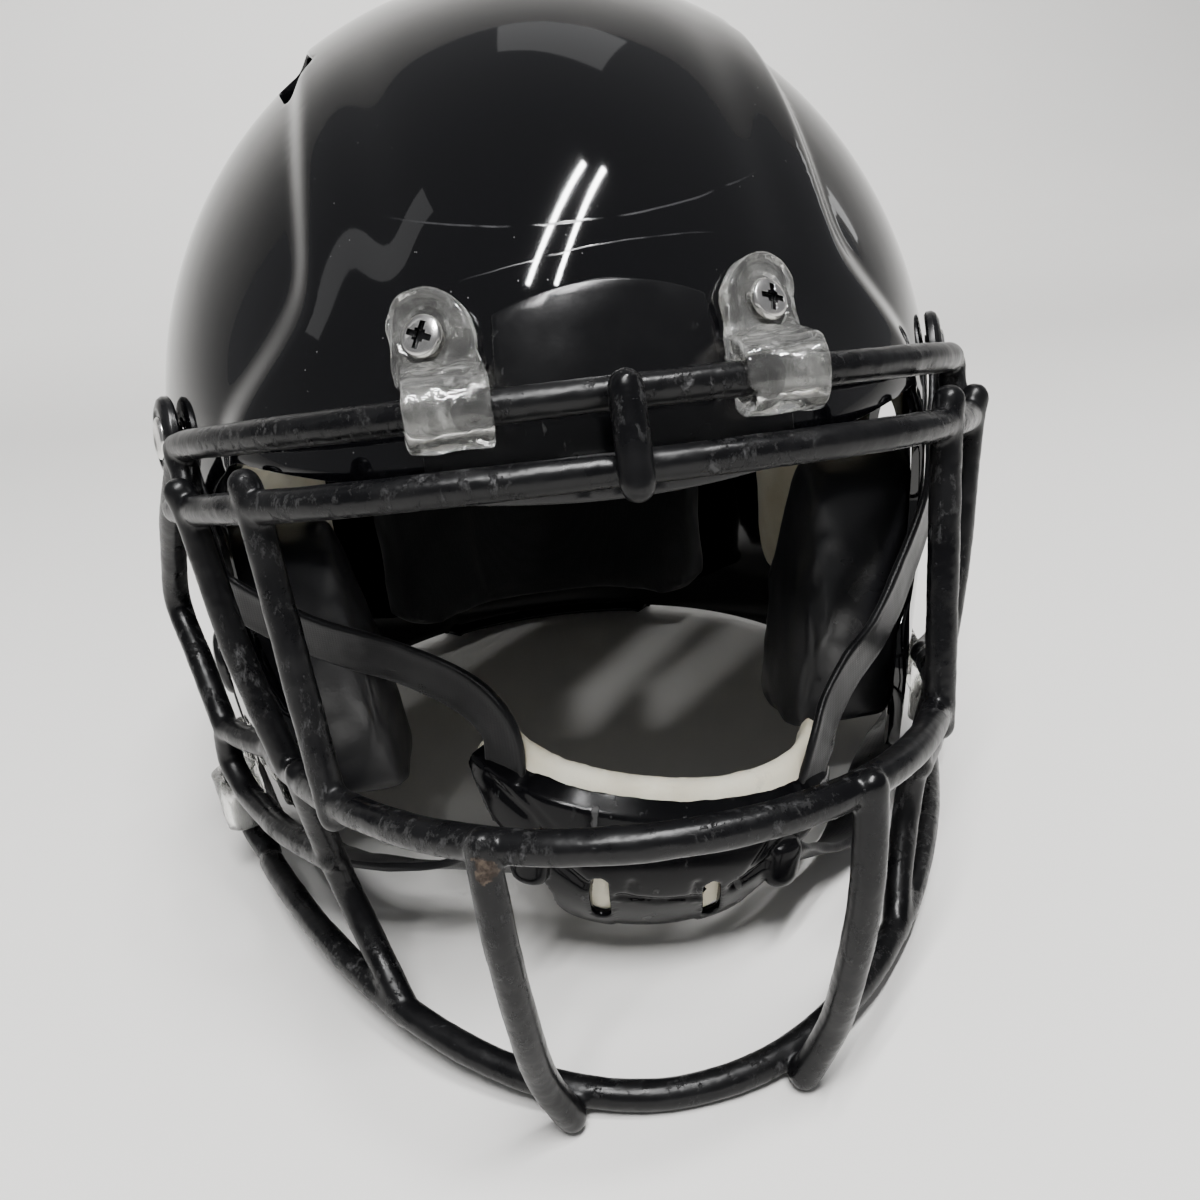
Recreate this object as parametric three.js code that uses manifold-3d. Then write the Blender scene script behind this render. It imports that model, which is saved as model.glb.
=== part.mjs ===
// American football helmet: a hard shell with its liner pads, a welded wire face mask held by four
// clear clips, and a hard-cup chin strap on four snaps. Millimetres, +Z up, face towards -Y.
// The origin is on the ground, in the middle of the whole helmet seen from above.

import * as THREE from "three";
import { mergeVertices } from "three/addons/utils/BufferGeometryUtils.js";
import Module from "manifold-3d";

const wasm = await Module();
wasm.setup();

// ---------------------------------------------------------------- driving dimensions

const GAP = 0.3;                    // air between pieces that touch

// The outer skin is a rounded form around a centre: half-sizes along each direction.
const SHELL_CENTRE = new THREE.Vector3(0, 41, 128);
const HALF_WIDTH = 125.5;
const FRONT_DEPTH = 155.5;
const REAR_DEPTH = 129.3;
const CROWN_HEIGHT = 133;
const SIDE_DROP = 330;              // below the centre the sides are nearly upright
const PLAN_POWER = 1.75;            // under 2: the form narrows towards the forehead
const REAR_PLAN_POWER = 2.1;
const RAISE = 3.5;                  // the middle of the shell stands this much proud of the sides
const WALL = 3.8;
const BUMPER = 2;                   // thickness of the two trim panels

// The raised middle, seen from the front: parallel over the crown, wider above the temples.
const RIDGE_X = 64;
const RIDGE_KINK_Z = 188;
const RIDGE_TEMPLE = [94, 158];
const REAR_RIDGE = [[60, 190], [50, 110], [46, -10]];

// Face opening and lower edge, seen from the side as [y, z].
const BROW_Z = 150;
const EAR_HOLE = { y: 40, z: 104, radius: 16 };
const NAPE_Z = 3;
const VENT = { x: 66, y: 20, length: 36, width: 10, lean: 0.12 };
const REAR_VENT = { x: 30, z: 205, length: 26, width: 9, lean: 0.3 };

// Face mask wires.
const WIRE_R = 3.8;
const PIVOT = { x: 36.2, y: -116.7, z: 170.5 };     // where the top bar lies in the front clips
const LOOP_BORE = { waist: 4.9, flare: 0.28 };      // flared both ways, so the curved bar can turn in it
const LOOP_OUTER_R = 8.8;
const CLIP_HALF_WIDTH = 9.25;

const CLIP_PLATE = { thickness: 4.6, topZ: 182.5, lowZ: 171 };
const SIDE_CLIP = { ringR: 7.6, width: 17, strap: 3.2, lift: 2.2, padR: 9.5, pad: 3.4 };

// Screws, nuts and snaps.
const SCREW = { headR: 5, headH: 2.4, shankR: 2.4, holeR: 2.75 };
const NUT = { barrelR: 3.9, flangeR: 7.5, flangeH: 1.6, holeR: 4.2 };
const SNAP = { studR: 5, studH: 3.2, capR: 10, capH: 6.5, cavityR: 6, cavityH: 3.9 };
const STUD_HOLE_R = 2.8;
const FRONT_SCREW_Z = 180;
const SIDE_SCREW = { y: 10, z: 34 };
const UPPER_SNAP = { y: -12, z: 147 };
const LOWER_SNAP = { y: 40, z: 52 };

// Chin cup and straps.
const CUP_CENTRE = new THREE.Vector3(7, -71, 48);
const CUP_RADII = new THREE.Vector3(54, 38, 46);
const CUP_WALL = 3;
const CUP_PAD = 7;
const CUP_TILT = 0.2;               // the cup hangs a little to one side
const STRAP_WIDTH = 14;
const STRAP_THICKNESS = 2;
const STRAP_LIFT = 1.9;             // middle of a strap above the skin where it lies on the shell

const BLACK_GLOSS = { color: 0x050506, roughness: 0.12, metalness: 0 };
const BLACK_COATED = { color: 0x0b0b0c, roughness: 0.4, metalness: 0 };
const BLACK_SATIN = { color: 0x101012, roughness: 0.5, metalness: 0 };
const BLACK_WEB = { color: 0x0d0d0e, roughness: 0.8, metalness: 0 };
const CREAM_FOAM = { color: 0xe6e1cf, roughness: 0.9, metalness: 0 };
const DARK_CLOTH = { color: 0x08080a, roughness: 0.95, metalness: 0 };
const CLEAR_PLASTIC = { color: 0xd9dcd2, roughness: 0.25, metalness: 0 };
const STEEL = { color: 0xb4b6b8, roughness: 0.3, metalness: 1 };

const helmet = new THREE.Group();

// ---------------------------------------------------------------- solids

function toSolid(geometry) {
  const bare = geometry.index ? geometry.toNonIndexed() : geometry.clone();
  bare.deleteAttribute("normal");
  bare.deleteAttribute("uv");
  const merged = mergeVertices(bare, 1e-4);
  const mesh = new wasm.Mesh({
    numProp: 3,
    vertProperties: new Float32Array(merged.attributes.position.array),
    triVerts: new Uint32Array(merged.index.array),
  });
  return new wasm.Manifold(mesh);
}

function toGeometry(solid) {
  const mesh = solid.getMesh();
  const geometry = new THREE.BufferGeometry();
  geometry.setAttribute("position", new THREE.BufferAttribute(new Float32Array(mesh.vertProperties), 3));
  geometry.setIndex(new THREE.BufferAttribute(new Uint32Array(mesh.triVerts), 1));
  return geometry;
}

function joinAll(solids) {
  return solids.reduce((whole, next) => whole.add(next));
}

function cutAll(solid, cutters) {
  return cutters.reduce((rest, cutter) => rest.subtract(cutter), solid);
}

function addPiece(name, solid, look) {
  const geometry = solid.isBufferGeometry ? solid : toGeometry(solid);
  const mesh = new THREE.Mesh(geometry, new THREE.MeshStandardMaterial(look));
  mesh.name = name;
  helmet.add(mesh);
}

// A name and a sign for each half of the helmet; +1 is the right-hand side of the picture plane, +X.
const SIDES = [["left", -1], ["right", 1]];

function mirrored(points, sign) {
  return points.map(([x, y, z]) => new THREE.Vector3(sign * x, y, z));
}

// An outline becomes a prism. The view says which way it is seen, and the prism runs the other way.
const X = new THREE.Vector3(1, 0, 0);
const Y = new THREE.Vector3(0, 1, 0);
const Z = new THREE.Vector3(0, 0, 1);
const VIEWS = {
  side: new THREE.Matrix4().makeBasis(Y, Z, X),
  front: new THREE.Matrix4().makeBasis(X, Z, Y.clone().negate()),
  top: new THREE.Matrix4(),
};

function outlineOf(points) {
  return new THREE.Shape(points.map(([u, v]) => new THREE.Vector2(u, v)));
}

function prism(view, shape, from, to, segments = 6) {
  const outline = Array.isArray(shape) ? outlineOf(shape) : shape;
  const options = { depth: to - from, bevelEnabled: false, curveSegments: segments };
  const geometry = new THREE.ExtrudeGeometry(outline, options);
  geometry.translate(0, 0, from);
  geometry.applyMatrix4(VIEWS[view]);
  return toSolid(geometry);
}

function slotShape(u, v, length, width, angle) {
  const half = (length - width) / 2;
  const along = new THREE.Vector2(Math.cos(angle), Math.sin(angle)).multiplyScalar(half);
  const shape = new THREE.Shape();
  const turn = angle - Math.PI / 2;
  shape.absarc(u + along.x, v + along.y, width / 2, turn, turn + Math.PI, false);
  shape.absarc(u - along.x, v - along.y, width / 2, turn + Math.PI, turn + 2 * Math.PI, false);
  return shape;
}

function rounded(points, radius) {
  const shape = new THREE.Shape();
  const corners = points.map(([u, v]) => new THREE.Vector2(u, v));
  corners.forEach((corner, i) => {
    const before = corners[(i + corners.length - 1) % corners.length];
    const after = corners[(i + 1) % corners.length];
    const start = before.clone().sub(corner).setLength(radius).add(corner);
    const end = after.clone().sub(corner).setLength(radius).add(corner);
    if (i === 0) shape.moveTo(start.x, start.y);
    else shape.lineTo(start.x, start.y);
    shape.quadraticCurveTo(corner.x, corner.y, end.x, end.y);
  });
  return shape;
}

// Turns +Y of a geometry, the axis of a cylinder or a lathed profile, to a direction at a place.
function placed(geometry, place, direction) {
  const turn = new THREE.Quaternion().setFromUnitVectors(Y, direction.clone().normalize());
  geometry.applyQuaternion(turn);
  geometry.translate(place.x, place.y, place.z);
  return geometry;
}

function rod(place, direction, radius, from, to, sides = 12) {
  const geometry = new THREE.CylinderGeometry(radius, radius, to - from, sides);
  geometry.translate(0, (from + to) / 2, 0);
  return toSolid(placed(geometry, place, direction));
}

function turned(profile, place, direction, sides = 12) {
  const points = profile.map(([r, h]) => new THREE.Vector2(r, h));
  return toSolid(placed(new THREE.LatheGeometry(points, sides), place, direction));
}

// ---------------------------------------------------------------- the helmet's form

// 1 on the outer skin, less inside it, more outside, for a place measured from the shell's centre.
function skinLevel(place) {
  const front = place.y < 0;
  const depth = front ? FRONT_DEPTH : REAR_DEPTH;
  const power = front ? PLAN_POWER : REAR_PLAN_POWER;
  const height = place.z > 0 ? CROWN_HEIGHT : SIDE_DROP;
  const plan = (Math.abs(place.x) / HALF_WIDTH) ** power + (Math.abs(place.y) / depth) ** power;
  return Math.sqrt(plan ** (2 / power) + (place.z / height) ** 2);
}

function domeForm(offset, around = 30, rows = 18) {
  const geometry = new THREE.SphereGeometry(1, around, rows);
  geometry.rotateX(Math.PI / 2);
  const position = geometry.attributes.position;
  const direction = new THREE.Vector3();
  for (let i = 0; i < position.count; i += 1) {
    direction.fromBufferAttribute(position, i).normalize();
    direction.set(...direction.toArray().map((value) => Math.round(value * 1e6) / 1e6));
    const place = direction.clone().multiplyScalar(1 / skinLevel(direction) + offset).add(SHELL_CENTRE);
    position.setXYZ(i, place.x, place.y, place.z);
  }
  return toSolid(geometry);
}

function ridgeRegion(inset) {
  const [templeX, templeZ] = RIDGE_TEMPLE;
  const front = [[RIDGE_X, 400], [RIDGE_X, RIDGE_KINK_Z], [templeX, templeZ], [templeX, -20]];
  const rear = [[RIDGE_X, 400], ...REAR_RIDGE];
  const [frontShape, rearShape] = [front, rear].map((half) => {
    const rightHalf = half.map(([x, z]) => [x - inset, z]);
    const leftHalf = half.map(([x, z]) => [inset - x, z]);
    return [...leftHalf, ...rightHalf.reverse()];
  });
  const frontPrism = prism("front", frontShape, -SHELL_CENTRE.y, 300);
  return frontPrism.add(prism("front", rearShape, -300, -SHELL_CENTRE.y));
}

// The outer skin with its raised middle, grown or shrunk by an offset.
function steppedForm(offset) {
  const middle = domeForm(RAISE + offset).intersect(ridgeRegion(-offset * 0.7));
  return domeForm(offset).add(middle);
}

// What stays of the shell, seen from the side: the nape, the jaw flap, the face opening and the brow.
function shellOutline() {
  const shape = new THREE.Shape();
  shape.moveTo(240, NAPE_Z);
  shape.lineTo(108, NAPE_Z);
  shape.quadraticCurveTo(92, 14, 70, 15);
  shape.lineTo(-10, 17);
  shape.quadraticCurveTo(-44, 18, -52, 40);
  shape.quadraticCurveTo(-58, 60, -46, 74);
  shape.quadraticCurveTo(-31, 96, -33, 118);
  shape.quadraticCurveTo(-35, 143, -60, BROW_Z);
  shape.lineTo(-240, BROW_Z);
  shape.lineTo(-240, 320);
  shape.lineTo(240, 320);
  return shape;
}

// Where the skin is met, coming from outside along X at a height and depth, and its outward normal.
function sidePoint(sign, y, z, offset = 0) {
  const at = (place) => skinLevel(place.clone().sub(SHELL_CENTRE));
  let low = 0;
  let high = HALF_WIDTH + 10;
  while (high - low > 1e-4) {
    const middle = (low + high) / 2;
    if (at(new THREE.Vector3(middle, y, z)) < 1) low = middle;
    else high = middle;
  }
  const point = new THREE.Vector3(sign * low, y, z);
  const normal = slopeOf(at, point);
  return { place: point.addScaledVector(normal, offset), normal };
}

function slopeOf(field, point) {
  const step = 0.01;
  const slope = [X, Y, Z].map((axis) => {
    const ahead = field(point.clone().addScaledVector(axis, step));
    return ahead - field(point.clone().addScaledVector(axis, -step));
  });
  return new THREE.Vector3(...slope).normalize();
}

// Outside pieces are cut back to the first form, inside pieces to the second.
const SKIN_CLEAR = steppedForm(GAP);
const CAVITY = steppedForm(-WALL - GAP);

// ---------------------------------------------------------------- places worked out from the form

function frontScrewPoint(sign) {
  let y = SHELL_CENTRE.y;
  while (sidePoint(1, y, FRONT_SCREW_Z).place.x > PIVOT.x) y -= 0.25;
  return sidePoint(sign, y, FRONT_SCREW_Z, RAISE);
}

const frontScrews = SIDES.map(([, sign]) => frontScrewPoint(sign));
const sideScrews = SIDES.map(([, sign]) => sidePoint(sign, SIDE_SCREW.y, SIDE_SCREW.z));
const upperSnaps = SIDES.map(([, sign]) => sidePoint(sign, UPPER_SNAP.y, UPPER_SNAP.z));
const lowerSnaps = SIDES.map(([, sign]) => sidePoint(sign, LOWER_SNAP.y, LOWER_SNAP.z));

// ---------------------------------------------------------------- shell and bumpers

function rearVentShape(sign) {
  const { x, z, length, width, lean } = REAR_VENT;
  return slotShape(sign * x, z, length, width, Math.PI / 2 - sign * lean);
}

function makeShell() {
  const wall = steppedForm(0).subtract(steppedForm(-WALL));
  const kept = wall.intersect(prism("side", shellOutline(), -200, 200));
  const holes = [];
  SIDES.forEach(([, sign], i) => {
    const ear = new THREE.Shape().absarc(EAR_HOLE.y, EAR_HOLE.z, EAR_HOLE.radius, 0, 2 * Math.PI);
    holes.push(prism("side", ear, sign > 0 ? 60 : -200, sign > 0 ? 200 : -60, 8));
    const { x, y, length, width, lean } = VENT;
    holes.push(prism("top", slotShape(sign * x, y, length, width, Math.PI / 2 - sign * lean), 190, 300));
    holes.push(prism("front", rearVentShape(sign), -260, -80));
    holes.push(rod(frontScrews[i].place, frontScrews[i].normal, NUT.holeR, -25, 20));
    holes.push(rod(sideScrews[i].place, sideScrews[i].normal, NUT.holeR, -12, 12));
    holes.push(rod(upperSnaps[i].place, upperSnaps[i].normal, STUD_HOLE_R, -12, 12));
    holes.push(rod(lowerSnaps[i].place, lowerSnaps[i].normal, STUD_HOLE_R, -12, 12));
  });
  addPiece("shell", cutAll(kept, holes), BLACK_GLOSS);
}

// A moulded panel on the outside of the shell that hooks round its lower edge.
function bumper(name, outline, hookOutline, hookDepth, fromY, toY) {
  const face = steppedForm(GAP + BUMPER);
  const panel = face.subtract(SKIN_CLEAR).intersect(prism("front", outline, fromY, toY, 10));
  const hook = face.subtract(steppedForm(-WALL - hookDepth));
  const hooked = hook.intersect(prism("front", hookOutline, fromY, toY));
  addPiece(name, panel.add(hooked), BLACK_SATIN);
}

function makeFrontBumper() {
  const shape = new THREE.Shape();
  shape.moveTo(-42, BROW_Z - 3);
  shape.lineTo(42, BROW_Z - 3);
  shape.lineTo(42, 158);
  shape.lineTo(25.5, 162);
  shape.lineTo(23.5, 186);
  shape.quadraticCurveTo(0, 197, -23.5, 186);
  shape.lineTo(-25.5, 162);
  shape.lineTo(-42, 158);
  const hook = [[-42, BROW_Z - 3], [42, BROW_Z - 3], [42, BROW_Z - GAP], [-42, BROW_Z - GAP]];
  bumper("front_bumper", shape, hook, 2.5, 40, 300);
}

function makeRearBumper() {
  const shape = new THREE.Shape();
  shape.moveTo(-48, 0);
  shape.lineTo(48, 0);
  shape.lineTo(44, 26);
  shape.quadraticCurveTo(0, 36, -44, 26);
  const hook = [[-48, 0], [48, 0], [48, NAPE_Z - GAP], [-48, NAPE_Z - GAP]];
  bumper("rear_bumper", shape, hook, 5, -300, -60);
}

// ---------------------------------------------------------------- face mask

// A bar that sweeps round the face: its height and how far forward it is are even functions of x.
function sweptBar(x, front, back2, back4, height, rise2, rise4) {
  const s = (x / 100) ** 2;
  return [x, front + back2 * s + back4 * s * s, height + rise2 * s + rise4 * s * s];
}

const topBarAt = (x) => sweptBar(x, -120.8, 27.0, 34.3, 171.6, -7.4, -8.1);
const browBarAt = (x) => sweptBar(x, -128.6, 14.5, 42.0, 157.3, -3.8, -10.8);
const midBarAt = (x) => sweptBar(x, -169.4, 60.8, 62.1, 92.5, -8.9, -20.9);
const lowerBarAt = (x) => sweptBar(x, -147.5, 72, 20, WIRE_R, 22, -13);

function barPoints(barAt, halfWidth, count) {
  const points = [];
  for (let i = 0; i <= count; i += 1) points.push(barAt(-halfWidth + (2 * halfWidth * i) / count));
  return points;
}

function wire(points, steps, radius = WIRE_R) {
  const curve = new THREE.CatmullRomCurve3(points, false, "centripetal");
  const section = new THREE.Shape().absarc(0, 0, radius, 0, 2 * Math.PI);
  const options = { steps, curveSegments: 4, bevelEnabled: false, extrudePath: curve };
  return toSolid(new THREE.ExtrudeGeometry(section, options));
}

const TOP_CORNER = [107.5, -43.9, 151.7];
const SIDE_WIRE_FOOT = [115.1, -28.3, 59.6];
const HINGE_WIRE = [[111, -26.5, 11.6], [116.8, -16, 17], [118.3, -14.5, 30], [117.2, -21.5, 43]];

// The bars that cross the face: points from end to end, and a step count.
function wholeBars() {
  const topBar = barPoints(topBarAt, 101, 12);
  topBar.unshift([-TOP_CORNER[0], TOP_CORNER[1], TOP_CORNER[2]]);
  topBar.push(TOP_CORNER);
  return {
    mask_top_bar: { points: topBar, steps: 26 },
    mask_brow_bar: { points: barPoints(browBarAt, 109, 12), steps: 18 },
    mask_mid_bar: { points: barPoints(midBarAt, 98, 12), steps: 18 },
    mask_lower_bar: { points: barPoints(lowerBarAt, 110, 12), steps: 20 },
    mask_centre_post: { points: [[0, -128.6, 177.5], [0, -136.6, 156]], steps: 1 },
  };
}

// The wires that come in pairs: points of the +X one, and a step count.
function sideWires() {
  return {
    mask_side_wire: {
      points: [
        [107.9, -42.5, 149], [117.7, -22.3, 126], [123.2, -9.8, 109.5], [127, -1, 92],
        [121.3, -14.1, 76.7], SIDE_WIRE_FOOT,
      ],
      steps: 14,
    },
    mask_corner_link: { points: [[107.2, -47, 150], [105.6, -52, 144.5], [106.8, -55.5, 139.5]], steps: 4 },
    mask_mid_end: { points: [[98, -53.7, 64.7], [107, -41, 61.5], SIDE_WIRE_FOOT], steps: 5 },
    mask_jaw_brace: {
      points: [
        [115.7, -27, 56.5], [116.6, -25.5, 48], [112, -34, 40.5], [104, -50, 40], [97.7, -63, 42],
        [90, -76, 44.5], [83.6, -86.5, 47],
      ],
      steps: 14,
    },
    mask_hinge_wire: { points: HINGE_WIRE, steps: 8 },
    mask_eye_wire: { points: [[103.2, -67.5, 140.9], [97, -76, 105], [88.5, -85, 73.6]], steps: 8 },
    mask_cheek_wire: { points: [[82.4, -99.3, 150.2], [79.4, -106.6, 122.6], [74.8, -118, 80]], steps: 8 },
    mask_outer_post: {
      points: [
        [84.5, -94.8, 74.5], [83.5, -88.5, 57], [80.5, -87, 38], [74.5, -96, 22.5],
        [68.3, -109.6, 12],
      ],
      steps: 10,
    },
    mask_inner_post: {
      points: [[41, -160.3, 90.5], [40, -162, 70], [37.5, -158.5, 42], [34.5, -153, 20], [29, -149.3, 4.3]],
      steps: 10,
    },
  };
}

function makeMask() {
  const wholes = wholeBars();
  const thick = {};
  const made = {};
  Object.entries(wholes).forEach(([name, { points, steps }]) => {
    made[name] = wire(mirrored(points, 1), steps);
    thick[name] = wire(mirrored(points, 1), steps, WIRE_R + GAP);
  });
  SIDES.forEach(([side, sign]) => {
    Object.entries(sideWires()).forEach(([name, { points, steps }]) => {
      made[`${name}_${side}`] = wire(mirrored(points, sign), steps);
      thick[`${name}_${side}`] = wire(mirrored(points, sign), steps, WIRE_R + GAP);
    });
  });
  // Each wire gives way to the wires before it in this order, so every weld has a fine gap.
  const order = Object.keys(made);
  order.forEach((name, i) => {
    const rest = cutAll(made[name], order.slice(0, i).map((other) => thick[other]));
    const biggest = rest.decompose().sort((a, b) => b.volume() - a.volume())[0];
    addPiece(name, biggest, BLACK_COATED);
  });
}

// ---------------------------------------------------------------- clips, screws and nuts

function makeFrontClip(side, sign, screw) {
  const inner = PIVOT.x - CLIP_HALF_WIDTH;
  const outer = PIVOT.x + CLIP_HALF_WIDTH;
  const [low, high] = sign > 0 ? [inner, outer] : [-outer, -inner];
  const plateShape = new THREE.Shape();
  plateShape.moveTo(low, CLIP_PLATE.lowZ);
  plateShape.lineTo(high, CLIP_PLATE.lowZ);
  plateShape.absarc((low + high) / 2, CLIP_PLATE.topZ, CLIP_HALF_WIDTH, 0, Math.PI, false);
  const top = GAP + CLIP_PLATE.thickness;
  const plate = steppedForm(top).subtract(SKIN_CLEAR).intersect(prism("front", plateShape, 40, 300));
  const ring = new THREE.Shape().absarc(PIVOT.y, PIVOT.z, LOOP_OUTER_R, 0, 2 * Math.PI);
  const web = [[-114, 176.2], [-80, 171.5], [-80, 178], [-97, 181.5], [-114, 178.8]];
  const loop = prism("side", ring, low, high, 8).add(prism("side", web, low, high));
  const body = plate.add(loop.subtract(SKIN_CLEAR));
  const hole = rod(screw.place, screw.normal, SCREW.holeR, -2, 20);
  const reach = CLIP_HALF_WIDTH + 1;
  const mouth = LOOP_BORE.waist + LOOP_BORE.flare * reach;
  const flared = [[0, -reach], [mouth, -reach], [LOOP_BORE.waist, 0], [mouth, reach], [0, reach]];
  const bore = turned(flared, new THREE.Vector3(sign * PIVOT.x, PIVOT.y, PIVOT.z), X, 16);
  const seat = rod(screw.place, screw.normal, SCREW.headR + 2 * GAP, top, 20);
  addPiece(`front_clip_${side}`, cutAll(body, [bore, hole, seat]), CLEAR_PLASTIC);
}

function sideClipFrame(sign) {
  const [, low, high] = mirrored(HINGE_WIRE, sign);
  return { middle: low.clone().lerp(high, 0.7), along: high.clone().sub(low).normalize() };
}

function makeSideClip(side, sign, screw) {
  const { ringR, width, strap, lift, padR, pad } = SIDE_CLIP;
  const { middle, along } = sideClipFrame(sign);
  const ring = rod(middle, along, ringR, -width / 2 + 0.5, width / 2 - 0.5, 16);
  const bore = wire(mirrored(HINGE_WIRE, sign), 8, WIRE_R + GAP);
  const seat = screw.place.clone().addScaledVector(screw.normal, lift);
  const reach = seat.clone().sub(middle);
  const forward = reach.clone().normalize();
  const across = new THREE.Vector3().crossVectors(screw.normal, forward).normalize();
  const facing = new THREE.Vector3().crossVectors(forward, across).normalize();
  const plate = new THREE.BoxGeometry(reach.length(), width, strap);
  plate.translate(reach.length() / 2, 0, 0);
  plate.applyMatrix4(new THREE.Matrix4().makeBasis(forward, across, facing));
  plate.translate(middle.x, middle.y, middle.z);
  const body = joinAll([ring, toSolid(plate), rod(screw.place, screw.normal, padR, GAP, GAP + pad, 16)]);
  const hole = rod(screw.place, screw.normal, SCREW.holeR, -5, 20);
  const room = rod(screw.place, screw.normal, SCREW.headR + 2, GAP + pad, 20);
  addPiece(`side_clip_${side}`, cutAll(body, [SKIN_CLEAR, bore, hole, room]), CLEAR_PLASTIC);
}

function makeScrew(name, screw, lift, tip) {
  const { headR, headH, shankR } = SCREW;
  const profile = [
    [0, tip], [shankR, tip], [shankR, lift], [headR, lift], [headR, lift + 0.5 * headH],
    [headR * 0.72, lift + headH], [0, lift + headH],
  ];
  const slot = headR * 1.1;
  const body = turned(profile, screw.place, screw.normal);
  const cross = [0, Math.PI / 2].map((angle) => {
    const bar = new THREE.BoxGeometry(slot, 1.6, 1.1);
    bar.rotateY(angle);
    bar.translate(0, lift + headH, 0);
    return toSolid(placed(bar, screw.place, screw.normal));
  });
  addPiece(name, cutAll(body, cross), STEEL);
}

// A flanged nut inside the shell, its barrel up through the wall. The flange follows the wall.
function makeNut(name, screw) {
  const { barrelR, flangeR, flangeH } = NUT;
  const flange = rod(screw.place, screw.normal, flangeR, -WALL - GAP - flangeH - 0.6, 0).intersect(CAVITY);
  const barrel = rod(screw.place, screw.normal, barrelR, -WALL - 2, -1.4);
  const bore = rod(screw.place, screw.normal, SCREW.holeR, -20, 10);
  addPiece(name, flange.add(barrel).subtract(bore), STEEL);
}

// ---------------------------------------------------------------- liner pads

const SIDE_PAD_X = 84;              // the side pads stay outside this, clear of the back pad

function paddedLayer(near, far) {
  return domeForm(-WALL - near, 20, 12).subtract(domeForm(-WALL - far, 20, 12));
}

function makePads() {
  const crown = new THREE.Shape().absarc(0, 44, 52, 0, 2 * Math.PI);
  addPiece("crown_pad", paddedLayer(1, 22).intersect(prism("top", crown, 200, 300, 8)), CREAM_FOAM);

  const brow = rounded([[-62, 156], [62, 156], [56, 196], [-56, 196]], 9);
  addPiece("front_pad", paddedLayer(1, 18).intersect(prism("front", brow, 30, 300)), BLACK_SATIN);

  const back = rounded([[-80, 12], [80, 12], [82, 128], [-82, 128]], 14);
  addPiece("back_pad", paddedLayer(1.5, 26).intersect(prism("front", back, -300, -80)), DARK_CLOTH);

  SIDES.forEach(([side, sign]) => {
    // The jaw pad leans outwards with height, like the cheek it rests on.
    const jaw = rounded([[-30, 26], [12, 20], [22, 70], [6, 118], [-22, 112], [-34, 60]], 8);
    const lean = [[60, 20], [130, 20], [130, 120], [76, 120]].map(([x, z]) => [sign * x, z]);
    const jawBlock = prism("side", jaw, -160, 160).intersect(prism("front", lean, -60, 60)).intersect(CAVITY);
    addPiece(`jaw_pad_${side}`, cutAll(jawBlock, fastenersInside(sign)), BLACK_SATIN);

    const flank = rounded([[62, 40], [108, 34], [112, 190], [10, 190], [14, 132], [58, 126]], 10);
    const [flankNear, flankFar] = sign > 0 ? [SIDE_PAD_X, 160] : [-160, -SIDE_PAD_X];
    const layer = paddedLayer(1.5, 30).intersect(prism("side", flank, flankNear, flankFar));
    addPiece(`side_pad_${side}`, cutAll(layer, fastenersInside(sign)), CREAM_FOAM);
  });
}

// Room in the pads for the nuts and stud feet that stand inside the shell.
function fastenersInside(sign) {
  const points = [sideScrews, upperSnaps, lowerSnaps].map((pair) => pair[sign > 0 ? 1 : 0]);
  return points.map(({ place, normal }) => rod(place, normal, NUT.flangeR + 1, -WALL - 9, 0));
}

// ---------------------------------------------------------------- chin strap

function inCupFrame(geometry) {
  geometry.rotateY(CUP_TILT);
  geometry.translate(CUP_CENTRE.x, CUP_CENTRE.y, CUP_CENTRE.z);
  return toSolid(geometry);
}

function cupBowl(shrink) {
  const geometry = new THREE.SphereGeometry(1, 18, 10);
  geometry.scale(CUP_RADII.x - shrink, CUP_RADII.y - shrink, CUP_RADII.z - shrink);
  return inCupFrame(geometry);
}

function cupPrism(shape, from, to) {
  const options = { depth: to - from, bevelEnabled: false, curveSegments: 5 };
  const geometry = new THREE.ExtrudeGeometry(shape, options);
  geometry.translate(0, 0, from);
  geometry.applyMatrix4(VIEWS.front);
  return inCupFrame(geometry);
}

// The cup seen from the front: two wings over a narrower chin piece.
function cupOutline(grow) {
  const shape = new THREE.Shape();
  shape.moveTo(-14, -38);
  shape.lineTo(14, -38);
  shape.quadraticCurveTo(24, -36, 28, -24);
  shape.quadraticCurveTo(36, -10, 46, -4);
  shape.lineTo(53, 4);
  shape.lineTo(52, 13 + grow);
  shape.quadraticCurveTo(0, 9 + grow, -52, 13 + grow);
  shape.lineTo(-53, 4);
  shape.lineTo(-46, -4);
  shape.quadraticCurveTo(-36, -10, -28, -24);
  shape.quadraticCurveTo(-24, -36, -14, -38);
  return shape;
}

// A place in the cup's own frame: across, forward and up from its centre.
function cupPoint(across, forward, up) {
  const place = new THREE.Vector3(across, -forward, up);
  return place.applyAxisAngle(Y, CUP_TILT).add(CUP_CENTRE);
}

function makeChinCup() {
  const wall = cupBowl(0).subtract(cupBowl(CUP_WALL));
  const cup = wall.intersect(cupPrism(cupOutline(0), 0, 60));
  const slots = [-1, 1].map((sign) => cupPrism(slotShape(sign * 15.6, -22.5, 15, 5.5, Math.PI / 2), 0, 60));
  addPiece("chin_cup", cutAll(cup, slots), BLACK_GLOSS);
  const lining = cupBowl(CUP_WALL + GAP).subtract(cupBowl(CUP_WALL + CUP_PAD));
  addPiece("chin_cup_pad", lining.intersect(cupPrism(cupOutline(6), 0, 60)), CREAM_FOAM);
}

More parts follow.
